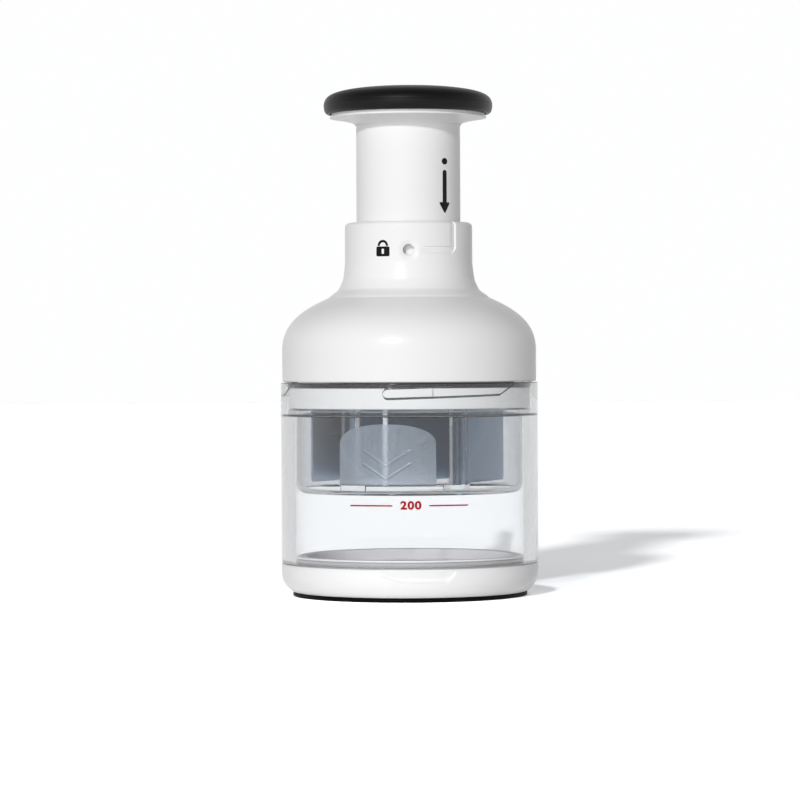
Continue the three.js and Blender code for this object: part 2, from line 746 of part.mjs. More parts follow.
const sleeveLow = coverFloorTop + seatGap;
const sleeveHigh = plungerBottom - lockSleeveDrop;
const catchLow = plungerBottom - pressStroke + lockLugHeight + slideGap;
let lockSleeve = turned([
  [sleeveInner, sleeveLow],
  [sleeveOuter, sleeveLow],
  [sleeveOuter, sleeveHigh],
  [sleeveInner, sleeveHigh],
]);
for (let i = 0; i < lockLugCount; i++) {
  const lug = lockLugAngle + 360 * i / lockLugCount;
  lockSleeve = lockSleeve.add(block(lug - lockTurn - lockLugSpan / 2, lug - lockLugSpan / 2 - catchSlack,
    catchLow, catchLow + catchHeight, plungerRadius + slideGap, sleeveInner + weld));
}
add('lock_sleeve', lockSleeve, 'acetal');

// Index sleeve on the cover's floor
const indexBottom = coverFloorTop + seatGap;
const indexFlangeTop = indexBottom + indexFlangeHeight;
const indexFlangeRadius = springOuter + indexFlangeProud;
const pinRest = indexFlangeTop + pinFoot + pressStroke;
const indexTop = pinRest + indexHead;
const pinSlack = pinRadius + slideGap;
const slotHalf = THREE.MathUtils.radToDeg(Math.asin(pinSlack / indexInner));
let indexSleeve = turned([
  [indexInner, indexBottom],
  [indexFlangeRadius, indexBottom],
  [indexFlangeRadius, indexFlangeTop],
  [indexOuter, indexFlangeTop],
  [indexOuter, indexTop],
  [indexInner, indexTop],
], smallFacets);
for (let i = 0; i < slotCount; i++) {
  const start = slotStart + 360 * i / slotCount;
  const path = [[start, pinRest + pinSlack]];
  for (let step = 0; step <= slotSteps; step++) {
    const share = step / slotSteps;
    path.push([start + bladeTurn * share, pinRest - pressStroke * share]);
  }
  path.push([start + bladeTurn, pinRest - pressStroke - pinSlack]);
  indexSleeve = indexSleeve.subtract(patch(
    path.map(([angle, z]) => [angle - slotHalf, z]),
    path.map(([angle, z]) => [angle + slotHalf, z]),
    indexInner - overrun,
    indexOuter + overrun,
  ));
}
add('index_sleeve', indexSleeve, 'acetal');

function screw(headLow, x, y, direction) {
  const headHigh = headLow + direction * screwHeadHeight;
  const tip = headHigh + direction * screwLength;
  const head = bar(screwHeadRadius, Math.min(headLow, headHigh), Math.max(headLow, headHigh), x, y);
  const shankFrom = headHigh - direction * weld;
  return head.add(bar(screwRadius, Math.min(shankFrom, tip), Math.max(shankFrom, tip), x, y));
}
const coverScrewLow = coverFloorBottom - screwSlack - screwHeadHeight;
coverScrewPlaces.forEach((place, i) => {
  add(`cover_screw_${i + 1}`, screw(coverScrewLow, place.x, place.y, 1), 'zinc');
});

// Knob: a stiff core with a coned flange, screwed to the tube's web from below, and a soft cap
const flangeTop = knobBottom + knobFlangeRise;
const knobTop = knobBottom + knobHeight;
const knobFlangeRadius = knobRadius - knobFlangeTuck;
const knobCavityRadius = washerRadius + knobCavityRoom;
const coreTop = knobTop - knobCapWall - seatGap;
const coreRadius = knobFlangeRadius - knobFlangeEdge - seatGap;
const coreEdge = coreTop - knobCoreDome;
let knobCore = turned([
  [0, webTop + knobCavityHeight],
  [knobCavityRadius, webTop + knobCavityHeight],
  [knobCavityRadius, webTop + seatGap],
  [plungerInner - slideGap, webTop + seatGap],
  [plungerInner - slideGap, plungerTop + seatGap],
  [plungerRadius + slideGap, plungerTop + seatGap],
  [plungerRadius + slideGap, knobBottom],
  [knobFlangeRadius, flangeTop],
  [knobFlangeRadius, flangeTop + knobFlangeEdge],
  [coreRadius, flangeTop + knobFlangeEdge],
  [coreRadius, coreEdge - knobCoreShoulder],
  [coreRadius - knobCoreShoulder, coreEdge],
  [0, coreTop],
]);
for (const place of knobScrewPlaces) {
  const pilotTop = webBottom + screwLength + seatGap;
  knobCore = knobCore.subtract(bar(screwBore, webTop - overrun, pilotTop, place.x, place.y));
}
add('knob_core', knobCore, 'white');

const capBottom = flangeTop + knobFlangeEdge + seatGap;
const capInner = coreRadius + seatGap;
const capHigh = (share) => capBottom + (knobTop - capBottom) * share;
const knobCap = turned([
  [capInner, capBottom],
  [capInner + knobCapLip, capBottom],
  ...knobSideShares.map(([wide, tall]) => [
    capInner + (knobRadius - capInner) * wide, capHigh(tall)]),
  ...knobCrownShares.map(([wide, tall]) => [knobRadius * wide, capHigh(tall)]),
  [0, knobTop],
  [0, coreTop + seatGap],
  [capInner - knobCoreShoulder, coreEdge + seatGap],
  [capInner, coreEdge - knobCoreShoulder + seatGap],
]);
add('knob_cap', knobCap, 'softBlack');

const knobScrewLow = webBottom - screwSlack - screwHeadHeight;
knobScrewPlaces.forEach((place, i) => {
  add(`knob_screw_${i + 1}`, screw(knobScrewLow, place.x, place.y, 1), 'zinc');
});

// Ram: spring cap under the web, thrust washer above it
const springCapTop = webBottom - seatGap;
const springCapBottom = springCapTop - springCapHeight;
const ring = (inner, outer, low, high) => turned(
  [[inner, low], [outer, low], [outer, high], [inner, high]], smallFacets);
add('spring_cap', ring(shaftBore, springCapRadius, springCapBottom, springCapTop), 'acetal');
const washerBottom = webTop + seatGap;
add('thrust_washer', ring(shaftBore, washerRadius, washerBottom, washerBottom + washerHeight), 'acetal');

// Return spring: one unbroken wire round the index sleeve
const springLow = indexFlangeTop + seatGap + springWire / 2;
const springHigh = springCapBottom - seatGap - springWire / 2;
function helix(low, high, curls, radius, wire) {
  const places = [];
  const corners = [];
  const rings = curls * springSteps;
  const pitch = (high - low) / curls;
  const lean = Math.atan2(pitch, 2 * Math.PI * radius);
  for (let i = 0; i <= rings; i++) {
    const angle = 360 * i / springSteps;
    const middle = point(angle, radius, low + (high - low) * i / rings);
    const out = point(angle, 1, 0);
    const along = point(angle + 90, Math.cos(lean), Math.sin(lean));
    const up = along.clone().cross(out).negate();
    for (let side = 0; side < springSides; side++) {
      const turn = 2 * Math.PI * side / springSides;
      const place = middle.clone()
        .addScaledVector(out, wire / 2 * Math.cos(turn))
        .addScaledVector(up, wire / 2 * Math.sin(turn));
      places.push(...place.toArray());
      if (i < rings) {
        const [a, b] = [i * springSides + side, i * springSides + (side + 1) % springSides];
        corners.push(a, b, b + springSides, a, b + springSides, a + springSides);
      }
    }
  }
  const last = rings * springSides;
  for (let side = 1; side + 1 < springSides; side++) {
    corners.push(0, side + 1, side, last, last + side, last + side + 1);
  }
  const geometry = new THREE.BufferGeometry();
  geometry.setAttribute('position', new THREE.Float32BufferAttribute(places, 3));
  geometry.setIndex(corners);
  return toSolid(geometry);
}
add('return_spring', helix(springLow, springHigh, springCurls, springMeanRadius, springWire), 'steel');

// Cutter: shaft, pin and clip, and the carrier with its blade
const socketBottom = carrierTop - carrierSocketDepth + carrierHubHeight;
const clipBottom = washerBottom + washerHeight + seatGap;
const shaftTop = clipBottom + clipHeight + shaftHeadHeight;
const shaftCore = shaftRadius - shaftGrooveDepth;
let shaft = turned([
  [0, socketBottom + seatGap],
  [shaftRadius, socketBottom + seatGap],
  [shaftRadius, springCapBottom - seatGap - shaftShoulderHeight],
  [shaftShoulderRadius, springCapBottom - seatGap - shaftShoulderHeight],
  [shaftShoulderRadius, springCapBottom - seatGap],
  [shaftRadius, springCapBottom - seatGap],
  [shaftRadius, clipBottom - seatGap],
  [shaftCore, clipBottom - seatGap],
  [shaftCore, clipBottom + clipHeight + seatGap],
  [shaftRadius, clipBottom + clipHeight + seatGap],
  [shaftRadius, shaftTop],
  [0, shaftTop],
], smallFacets);
const crossBar = (radius, length) => toSolid(
  new THREE.CylinderGeometry(radius, radius, length, screwFacets)
    .rotateZ(Math.PI / 2)
    .translate(0, 0, pinRest));
shaft = shaft.subtract(crossBar(pinRadius + screwSlack, 2 * shaftRadius + 2 * overrun));
add('drive_shaft', shaft, 'steel');
add('index_pin', crossBar(pinRadius, 2 * (indexOuter - seatGap)), 'steel');
add('shaft_clip', ring(shaftCore + screwSlack, clipRadius, clipBottom, clipBottom + clipHeight), 'zinc');

// The zigzag's outline seen from above: one strip folded at the given angles. The groove that
// holds it is wider and longer by a gap all round.
function zigzag(gap, low, high) {
  const thickness = bladeThickness + 2 * gap;
  const last = bladeFoldAngles.length - 1;
  const folds = bladeFoldAngles.map((angle, i) => {
    const inFromReach = i % last ? bladeFoldSetback : bladeThickness;
    const place = point(angle, bladeReach - inFromReach, 0);
    return new THREE.Vector2(place.x, place.y);
  });
  for (const [end, next] of [[folds[0], folds[1]], [folds[last], folds[last - 1]]]) {
    end.addScaledVector(end.clone().sub(next).normalize(), gap);
  }
  const sides = [[], []];
  folds.forEach((fold, i) => {
    const before = fold.clone().sub(folds[Math.max(0, i - 1)]).normalize();
    const after = folds[Math.min(folds.length - 1, i + 1)].clone().sub(fold).normalize();
    const [inWay, outWay] = [i ? before : after, i + 1 < folds.length ? after : before];
    const across = new THREE.Vector2(-inWay.y - outWay.y, inWay.x + outWay.x).normalize();
    const reach = thickness / 2 / across.dot(new THREE.Vector2(-inWay.y, inWay.x));
    sides[0].push(fold.clone().addScaledVector(across, reach));
    sides[1].unshift(fold.clone().addScaledVector(across, -reach));
  });
  const shape = new THREE.Shape([...sides[0], ...sides[1]]);
  const geometry = new THREE.ExtrudeGeometry(shape, { depth: high - low, bevelEnabled: false });
  return toSolid(geometry.translate(0, 0, low));
}
let carrier = turned([
  [0, carrierBottom],
  [carrierRadius, carrierBottom],
  [carrierRadius, carrierTop],
  [carrierHubRadius, carrierTop],
  [carrierHubRadius, hubTop],
  [shaftRadius + screwSlack, hubTop],
  [shaftRadius + screwSlack, socketBottom],
  [0, socketBottom],
]);
carrier = carrier.subtract(
  zigzag(seatGap, carrierBottom - overrun, carrierBottom + bladeTang + seatGap));
add('blade_carrier', carrier, 'acetal');
add('zigzag_blade', zigzag(0, bladeEdge, carrierBottom + bladeTang), 'steel');

// Guard: the shell's lower edge curls in, its flange lies over the cup's ledge
const curlMiddle = guardRadius - guardCurve;
const curl = (radius, steps) => Array.from({ length: steps + 1 }, (_, i) => {
  const turn = Math.PI / 2 * i / steps;
  return [curlMiddle + radius * Math.sin(turn), guardBottom + guardCurve - radius * Math.cos(turn)];
});
const guardSpigotTop = guardFlangeTop + guardSpigotHeight;
const spigotRadius = skirtInner - guardSpigotGap;
let guard = turned([
  ...curl(guardCurve, curlSteps),
  [guardRadius, guardFlangeBottom],
  [mouthRadius - guardFlangeGap, guardFlangeBottom],
  [mouthRadius - guardFlangeGap, guardFlangeTop],
  [spigotRadius, guardFlangeTop],
  [spigotRadius, guardSpigotTop],
  [guardInner, guardSpigotTop],
  ...curl(guardCurve - guardWall, curlSteps).reverse(),
]);
const archFrom = archMiddle - archSpan / 2;
const archLow = guardBottom + archRise;
const archHeight = guardFlangeBottom - archTopDrop - archLow;
const archTopAt = (angle) => {
  const share = 2 * (angle - archMiddle) / archSpan;
  const bow = Math.sqrt(Math.max(0, 1 - Math.abs(share) ** archBowPower));
  return archLow + archHeight * (archSideShare + (1 - archSideShare) * bow);
};
guard = guard.add(patch(
  rail(archFrom, archFrom + archSpan, () => archLow),
  rail(archFrom, archFrom + archSpan, archTopAt),
  guardRadius - weld,
  guardRadius + archProud,
));
const chevronOverlap = THREE.MathUtils.radToDeg(chevronStroke / 2 / guardRadius);
for (let i = 0; i < chevronCount; i++) {
  const top = archLow + archHeight * chevronTopShare - chevronPitch * i;
  const edge = (shift) => (angle) => top + shift
    - chevronDrop * (1 - Math.abs(angle - archMiddle) / chevronHalfSpan);
  const half = chevronStroke / 2;
  for (const side of [-1, 1]) {
    const reach = archMiddle + side * chevronHalfSpan;
    const from = archMiddle - side * chevronOverlap;
    guard = guard.add(patch(rail(from, reach, edge(-half)), rail(from, reach, edge(half)),
      guardRadius - weld, guardRadius + chevronProud));
  }
}
add('guard_shell', guard, 'smoke');

// Clear cage: a ring over the guard's top, four posts with feet, and a rib behind the grip
const cageRingLow = guardSpigotTop + seatGap;
const postLow = guardBottom + guardCurve + seatGap;
let cage = turned([
  [cageRingInner, cageRingLow],
  [spigotRadius, cageRingLow],
  [spigotRadius, cageRingLow + cageRingHeight],
  [cageRingInner, cageRingLow + cageRingHeight],
]);
for (const angle of postAngles) {
  cage = cage
    .add(block(angle - postSpan / 2, angle + postSpan / 2, postLow, cageRingLow + weld,
      cageInner, cageOuter))
    .add(block(angle - cageFootSpan / 2, angle + cageFootSpan / 2, guardBottom,
      guardBottom + cageFootHeight, cageInner, curlMiddle - cageFootGap));
}
cage = cage.add(block(ribAngle - ribSpan / 2, ribAngle + ribSpan / 2, postLow, cageRingLow + weld,
  cageInner + cageWall / 2, cageOuter));
add('guard_cage', cage, 'clear');

export default object;
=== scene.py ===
import math

import bmesh
import bpy
from mathutils import Matrix, Vector


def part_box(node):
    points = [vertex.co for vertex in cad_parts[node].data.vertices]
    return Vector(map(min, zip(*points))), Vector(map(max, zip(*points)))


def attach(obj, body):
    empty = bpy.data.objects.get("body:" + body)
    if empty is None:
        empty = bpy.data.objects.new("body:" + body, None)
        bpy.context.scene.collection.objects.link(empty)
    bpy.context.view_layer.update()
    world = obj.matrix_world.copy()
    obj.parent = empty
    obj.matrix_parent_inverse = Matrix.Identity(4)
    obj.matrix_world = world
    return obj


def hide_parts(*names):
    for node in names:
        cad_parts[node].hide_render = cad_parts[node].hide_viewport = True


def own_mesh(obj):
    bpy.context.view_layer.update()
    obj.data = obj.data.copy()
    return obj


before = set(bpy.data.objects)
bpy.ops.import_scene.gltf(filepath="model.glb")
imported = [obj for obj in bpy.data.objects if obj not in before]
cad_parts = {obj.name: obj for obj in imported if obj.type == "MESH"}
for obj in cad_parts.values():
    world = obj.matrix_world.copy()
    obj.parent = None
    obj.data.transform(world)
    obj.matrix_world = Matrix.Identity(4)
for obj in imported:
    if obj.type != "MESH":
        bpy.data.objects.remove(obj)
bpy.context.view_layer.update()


# Camera. It stands a little above the cup's mouth, a metre and a half in front of the chopper, with
# a long lens, and leans by a quarter of a degree.
def placed(name, data):
    """An object that holds the data, put in the scene."""
    made = bpy.data.objects.new(name, data)
    bpy.context.scene.collection.objects.link(made)
    return made


camera_place = Vector((0.0, -1.465, 0.1018))
camera_target = Vector((-0.00396, 0.0, 0.0827))
camera_lean = math.radians(-0.27)
camera_data = bpy.data.cameras.new("camera")
camera_data.sensor_width = 36
camera_data.lens = 155.3
camera_data.clip_start = 0.1
camera_data.clip_end = 20
camera = placed("camera", camera_data)
camera_turn = (camera_target - camera_place).to_track_quat("-Z", "Y").to_matrix().to_4x4()
camera.matrix_world = (
    Matrix.Translation(camera_place) @ camera_turn @ Matrix.Rotation(camera_lean, 4, "Z")
)
bpy.context.scene.camera = camera


# Foot pad. A disc of soft black rubber that keeps the chopper from sliding. A spigot on it presses
# into the underside of the base lid.
def rounded(corners, steps=6, flat=0.00012):
    """Points of a closed outline of (radius, z, fillet) corners, with each corner turned by its
    fillet. A point just before and after each fillet keeps the shading of the flats true."""
    points = []
    for i, (radius, z, fillet) in enumerate(corners):
        here = Vector((radius, z))
        before = Vector(corners[i - 1][:2]) - here
        after = Vector(corners[(i + 1) % len(corners)][:2]) - here
        if not fillet or before.length < 1e-9 or after.length < 1e-9:
            points += [here] * (steps + 3 if fillet else 1)
            continue
        half = before.angle(after) / 2
        reach = min(fillet / math.tan(half), 0.42 * min(before.length, after.length))
        start, end = here + before.normalized() * reach, here + after.normalized() * reach
        middle = (start + end) / 2 - here
        points.append(start + before.normalized() * min(flat, 0.04 * before.length))
        if middle.length > 1e-9:
            centre = here + middle * (reach / math.cos(half) / middle.length)
            size = (start - centre).length
            points += [
                centre + size * (start - centre).slerp(end - centre, step / steps)
                for step in range(steps + 1)
            ]
        else:
            points += [start.lerp(end, step / steps) for step in range(steps + 1)]
        points.append(end + after.normalized() * min(flat, 0.04 * after.length))
    return points


def smooth(piece, crease=32):
    piece.data.shade_smooth()
    piece.data.set_sharp_from_angle(angle=math.radians(crease))
    return piece


def linked(name, bm):
    """The mesh as an object, with doubled points merged and its faces pointing out."""
    bmesh.ops.remove_doubles(bm, verts=bm.verts, dist=1e-6)
    bmesh.ops.delete(bm, geom=[e for e in bm.edges if not e.link_faces], context="EDGES")
    bmesh.ops.recalc_face_normals(bm, faces=bm.faces)
    mesh = bpy.data.meshes.new(name)
    bm.to_mesh(mesh)
    bm.free()
    return placed(name, mesh)


def around(name, columns, mark=None, whole=True):
    """A closed mesh round the axis, or a bar with two ends where it isn't whole. Each column is an
    angle from the front, in degrees, and the (radius, z) points there, as many in each. A third
    number is kept as the mark attribute."""
    bm = bmesh.new()
    layer = bm.verts.layers.float.new(mark) if mark else None
    rings = []
    for angle, points in columns:
        turn = math.radians(angle)
        ring = []
        for radius, z, *marked in points:
            vert = bm.verts.new((radius * math.sin(turn), -radius * math.cos(turn), z))
            if mark:
                vert[layer] = marked[0]
            ring.append(vert)
        rings.append(ring)
    for i, ring in enumerate(rings if whole else rings[:-1]):
        beside = rings[(i + 1) % len(rings)]
        for j, vert in enumerate(ring):
            k = (j + 1) % len(ring)
            bm.faces.new((vert, beside[j], beside[k], ring[k]))
    if not whole:
        bm.faces.new(rings[0])
        bm.faces.new(rings[-1])
    return linked(name, bm)


def turned(name, corners, facets=192):
    points = rounded(corners)
    return smooth(around(name, [(360 * i / facets, points) for i in range(facets)]))


def node_adder(tree):
    """A way to add nodes to a tree. Words in small letters are a node's settings. The others, and
    values given in their order, are its inputs, each set or joined to another node's output."""
    def add(kind, *values, **named):
        node = tree.nodes.new(kind)
        for key in [key for key in named if key.islower()]:
            setattr(node, key, named.pop(key))
        for key, value in [*enumerate(values), *named.items()]:
            socket = node.inputs[key if isinstance(key, int) else key.replace("_", " ")]
            if isinstance(value, bpy.types.NodeSocket):
                tree.links.new(value, socket)
            else:
                socket.default_value = value
        return node

    return add


def ranged(add, value, low, high, from_low=0.0, from_high=1.0, **settings):
    """A value spread out to run from low to high."""
    return add(
        "ShaderNodeMapRange", Value=value, From_Min=from_low, From_Max=from_high,
        To_Min=low, To_Max=high, **settings,
    ).outputs["Result"]


def surface_nodes(name, colour, roughness):
    """A material with its Principled shader, and ways to add and to join nodes."""
    material = bpy.data.materials.new(name)
    material.use_nodes = True
    shader = material.node_tree.nodes["Principled BSDF"]
    shader.inputs["Base Color"].default_value = (*colour, 1)
    shader.inputs["Roughness"].default_value = roughness
    return material, shader, node_adder(material.node_tree), material.node_tree.links


def moulded(
    name, colour, roughness, grain_size, grain_depth, unevenness=0.04, tone=0.015, gloss=0.5
):
    """Moulded plastic or rubber: a fine grain, a roughness that wanders and a slight drift in
    tone, both in patches a few centimetres wide."""
    material, shader, add, links = surface_nodes(name, colour, roughness)
    shader.inputs["Specular IOR Level"].default_value = gloss
    place = add("ShaderNodeTexCoord").outputs["Object"]
    patches = add("ShaderNodeTexNoise", Vector=place, Scale=38.0, Detail=3.0)
    wander = ranged(
        add, patches.outputs["Fac"], roughness - unevenness, roughness + unevenness, 0.3, 0.7
    )
    links.new(wander, shader.inputs["Roughness"])
    slow = add("ShaderNodeTexNoise", Vector=place, Scale=14.0, Detail=2.0)
    ramp = add("ShaderNodeValToRGB", Fac=slow.outputs["Fac"])
    for stop, position, shade in zip(ramp.color_ramp.elements, (0.3, 0.7), (1 - tone, 1)):
        stop.position = position
        stop.color = (*[c * shade for c in colour], 1)
    links.new(ramp.outputs["Color"], shader.inputs["Base Color"])
    grain = add("ShaderNodeTexNoise", Vector=place, Scale=1 / grain_size, Detail=2.0)
    bump = add("ShaderNodeBump", Height=grain.outputs["Fac"], Strength=1.0, Distance=grain_depth)
    links.new(bump.outputs["Normal"], shader.inputs["Normal"])
    return material


def fitted(piece, material, body, slot, *nodes):
    """Gives the piece its material and its body, and hides the nodes it is for. The slot is not
    used.
    """
    piece.data.materials.clear()
    piece.data.materials.append(material)
    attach(piece, body)
    if nodes:
        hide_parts(*nodes)
    return piece


soft_black = moulded("soft_black_rubber", (0.002, 0.002, 0.002), 0.55, 0.0006, 0.00004, gloss=0.05)
foot_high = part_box("foot_pad")[1]
foot_radius = foot_high.x
foot_height = 0.0018
foot_spigot_radius = 0.0469
foot_spigot_wall = 0.002
foot_recess = 0.0004
foot_rim = 0.006
foot_pad = turned("foot_pad_rubber", [
    (0, foot_recess, 0),
    (foot_radius - foot_rim, foot_recess, 0.0003),
    (foot_radius - foot_rim, 0, 0.0003),
    (foot_radius, 0, 0.0006),
    (foot_radius, foot_height, 0.0003),
    (foot_spigot_radius, foot_height, 0),
    (foot_spigot_radius, foot_high.z, 0.0004),
    (foot_spigot_radius - foot_spigot_wall, foot_high.z, 0.0004),
    (foot_spigot_radius - foot_spigot_wall, foot_height, 0),
    (0, foot_height, 0),
])
fitted(foot_pad, soft_black, "base", "soft_black", "foot_pad")


# Base lid. One glossy white moulding: a bowl-sided tray with a finger scoop, and on it the plug
# that enters the cup, with the sunk cutting floor inside. The plug's inside, floor and walls, is
# painted pale grey as the shade that falls inside the cup.
white_plastic = moulded(
    "white_gloss_plastic", (0.86, 0.857, 0.855), 0.3, 0.0011, 0.0000012, 0.004, 0.002, 0.22
)
base_low, base_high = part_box("base_lid")
base_radius = base_high.x
base_foot_radius = base_radius - 0.0047
bowl_height = base_low.z + 0.0086
bowl_row = 0.0001
base_rim = 0.0139
base_wall = 0.0023
base_wall_low = base_low.z + 0.0072
plug_radius = 0.0481
plug_inner = 0.044
floor_height = 0.0122
floor_wall = 0.0022
floor_underside_radius = plug_inner - 0.0005
seal_groove_radius = 0.0466
seal_groove_low, seal_groove_high = 0.0146, 0.0166
spigot_pocket = 0.0472
spigot_pocket_depth = 0.0028
scoop_start, scoop_end = math.radians(-14.6), math.radians(20.2)
scoop_low, scoop_high = 0.0083, 0.0133
scoop_depth = 0.0014
scoop_lip = 0.0009


def shade_of(material, mark, colour, roughness):
    """Gives the places that carry the mark another colour and roughness: painted shade on the cup's
    edges and the base's floor, and the grip's own frost on the guard.
    """
    add, links = node_adder(material.node_tree), material.node_tree.links
    shader = material.node_tree.nodes["Principled BSDF"]
    marked = add("ShaderNodeAttribute", attribute_name=mark)
    for name, value, kind in (
        ("Base Color", (*colour, 1), "RGBA"),
        ("Roughness", roughness, "FLOAT"),
    ):
        mix = add("ShaderNodeMix", data_type=kind)
        links.new(marked.outputs["Fac"], mix.inputs["Factor"])
        first = next(k for k in mix.inputs if k.name == "A" and k.enabled)
        second = next(k for k in mix.inputs if k.name == "B" and k.enabled)
        result = next(k for k in mix.outputs if k.enabled)
        source = shader.inputs[name]
        if source.is_linked:
            links.new(source.links[0].from_socket, first)
        else:
            first.default_value = source.default_value
        second.default_value = value
        links.new(result, source)


def bend(points, steps):
    """Points of a cubic Bezier curve through its four control points."""
    return [
        sum(
            (
                weight * Vector(point)
                for weight, point in zip(
                    ((1 - t) ** 3, 3 * t * (1 - t) ** 2, 3 * t * t * (1 - t), t ** 3), points
                )
            ),
            Vector((0, 0)),
        )
        for t in (step / steps for step in range(steps + 1))
    ]


def ease(value):
    value = max(0.0, min(1.0, value))
    return value * value * (3 - 2 * value)


def scoop_at(turn, z):
    """How deep the finger scoop is at an angle, in radians, and a height."""
    share = (turn - scoop_start) / (scoop_end - scoop_start)
    if not 0 < share < 1 or z > scoop_high:
        return 0.0
    opening = min(1.0, math.sqrt(3 * share), math.sqrt(9 * (1 - share)))
    foot = scoop_high - (scoop_high - scoop_low) * opening
    below_top = (scoop_high - z) / (scoop_high - scoop_low)
    return scoop_depth * ease((z - foot) / scoop_lip) * min(1.0, 1.6 * below_top)


base_side = bend([
    (base_foot_radius, base_low.z),
    (base_foot_radius + 0.6 * (base_radius - base_foot_radius), base_low.z + 0.0019),
    (base_radius, base_low.z + 0.0048),
    (base_radius, bowl_height),
], 28)
# The eleven points that turn the side into the rim.
base_edge = rounded([
    (base_radius, bowl_height, 0),
    (base_radius, base_rim, 0.0005),
    (plug_radius, base_rim, 0.0003),
], 8)[1:12]
base_side += [Vector((base_radius, bowl_height + bowl_row * step)) for step in range(1, 29)]
base_rest = rounded([
    (base_radius - 0.003, base_rim, 0),
    (plug_radius, base_rim, 0.0003),
    (plug_radius, seal_groove_low, 0),
    (seal_groove_radius, seal_groove_low, 0),
    (seal_groove_radius, seal_groove_high, 0),
    (plug_radius, seal_groove_high, 0),
    (plug_radius, base_high.z, 0.0007),
    (plug_inner, base_high.z, 0.0007),
    (plug_inner, floor_height, 0.0012),
    (0, floor_height, 0),
    (0, floor_height - floor_wall, 0),
    (floor_underside_radius, floor_height - floor_wall, 0),
    (floor_underside_radius, base_rim - base_wall, 0),
    (base_radius - base_wall, base_rim - base_wall, 0.001),
    (base_radius - base_wall, base_wall_low, 0.001),
    (spigot_pocket, base_low.z + spigot_pocket_depth, 0),
    (spigot_pocket, base_low.z, 0.0002),
])
# The columns stand close where the scoop is, and far apart elsewhere.
base_columns = []
for angle in [0.4 * i for i in range(-40, 54)] + [21.5 + 1.5 * i for i in range(215)]:
    turn = math.radians(angle)
    side = [
        (point.x - scoop_at(turn, point.y), point.y, 0.0)
        for point in base_side + base_edge
    ]
    # The third number is one on the plug's inside, its floor and walls, where a grey shade is
    # painted.
    base_columns.append((angle, side + [
        (point.x, point.y, float(point.x < plug_radius - 0.002 and point.y > floor_height - 0.0001))
        for point in base_rest
    ]))
base_lid = smooth(around("base_lid_moulding", base_columns, "cutting_floor"))
base_plastic = moulded(
    "white_base_plastic", (0.93, 0.921, 0.919), 0.28, 0.0011, 0.0000012, 0.004, 0.002, 0.28
)
# Painted shade: the plug's inside gets a pale mauve grey that stands for the shade inside the cup.
shade_of(base_plastic, "cutting_floor", (0.8, 0.77, 0.78), 0.5)
fitted(base_lid, base_plastic, "base", "white_plastic", "base_lid")


# Base seal. A soft silicone ring, stretched over the plug into its groove. It grips the cup from
# inside, so that the base stays on.
seal_silicone = moulded("pale_silicone", (0.5, 0.49, 0.5), 0.55, 0.0005, 0.00002, gloss=0.25)
base_seal_low, base_seal_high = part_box("base_seal")
base_seal_inner = seal_groove_radius + 0.0003
base_seal_shoulder = base_seal_high.x - 0.0003
base_seal = turned("base_seal_ring", [
    (base_seal_inner, base_seal_low.z, 0.0002),
    (base_seal_shoulder, base_seal_low.z, 0.0002),
    (base_seal_high.x, (base_seal_low.z + base_seal_high.z) / 2, 0.0004),
    (base_seal_shoulder, base_seal_high.z, 0.0002),
    (base_seal_inner, base_seal_high.z, 0.0002),
])
fitted(base_seal, seal_silicone, "base", "seal_silicone", "base_seal")


# Cup. A thick clear moulding, open at both ends. Its mouth is thinner above an inner ledge and has
# three bayonet channels, each closed above by a roof and then open to the top.
def clear_glass(name, colour, roughness, spread=0.01):
    """Clear plastic that lets the lamps through to what stands inside."""
    material, shader, add, links = surface_nodes(name, colour, roughness)
    shader.inputs["Transmission Weight"].default_value = 1
    shader.inputs["IOR"].default_value = 1.49
    shader.inputs["Specular IOR Level"].default_value = 0.35
    place = add("ShaderNodeTexCoord").outputs["Object"]
    haze = add("ShaderNodeTexNoise", Vector=place, Scale=60.0, Detail=3.0)
    wander = ranged(add, haze.outputs["Fac"], roughness, roughness + spread)
    links.new(wander, shader.inputs["Roughness"])
    through = add("ShaderNodeBsdfTransparent", Color=(*[0.25 + 0.75 * c for c in colour], 1))
    path = add("ShaderNodeLightPath").outputs
    either = add(
        "ShaderNodeMath", path["Is Shadow Ray"], path["Is Diffuse Ray"], operation="MAXIMUM"
    )
    mix = add(
        "ShaderNodeMixShader", either.outputs["Value"], shader.outputs["BSDF"],
        through.outputs["BSDF"],
    )
    links.new(mix.outputs["Shader"], material.node_tree.nodes["Material Output"].inputs["Surface"])
    return material, shader, add, links


clear_plastic = clear_glass("clear_plastic", (0.965, 0.975, 0.98), 0.0)[0]
cup_low, cup_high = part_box("cup")
cup_radius = cup_high.x
cup_inner = 0.0486
mouth_radius = 0.052
cup_ledge = 0.0766
channel_depth = 0.0011
channel_corner = 0.0004
lug_low = 0.084
lug_height = 0.0037
lug_start = -11.5
lug_pitch = 0.00085 / 32
lug_gap = 0.0003
channel_start, channel_roof_end, channel_ramp_foot, channel_top = -0.5, 30.8, 56.0, 67.0
channel_round = 1.9
roof_gap = 0.0006
foot_edge_painted_shade = 0.6


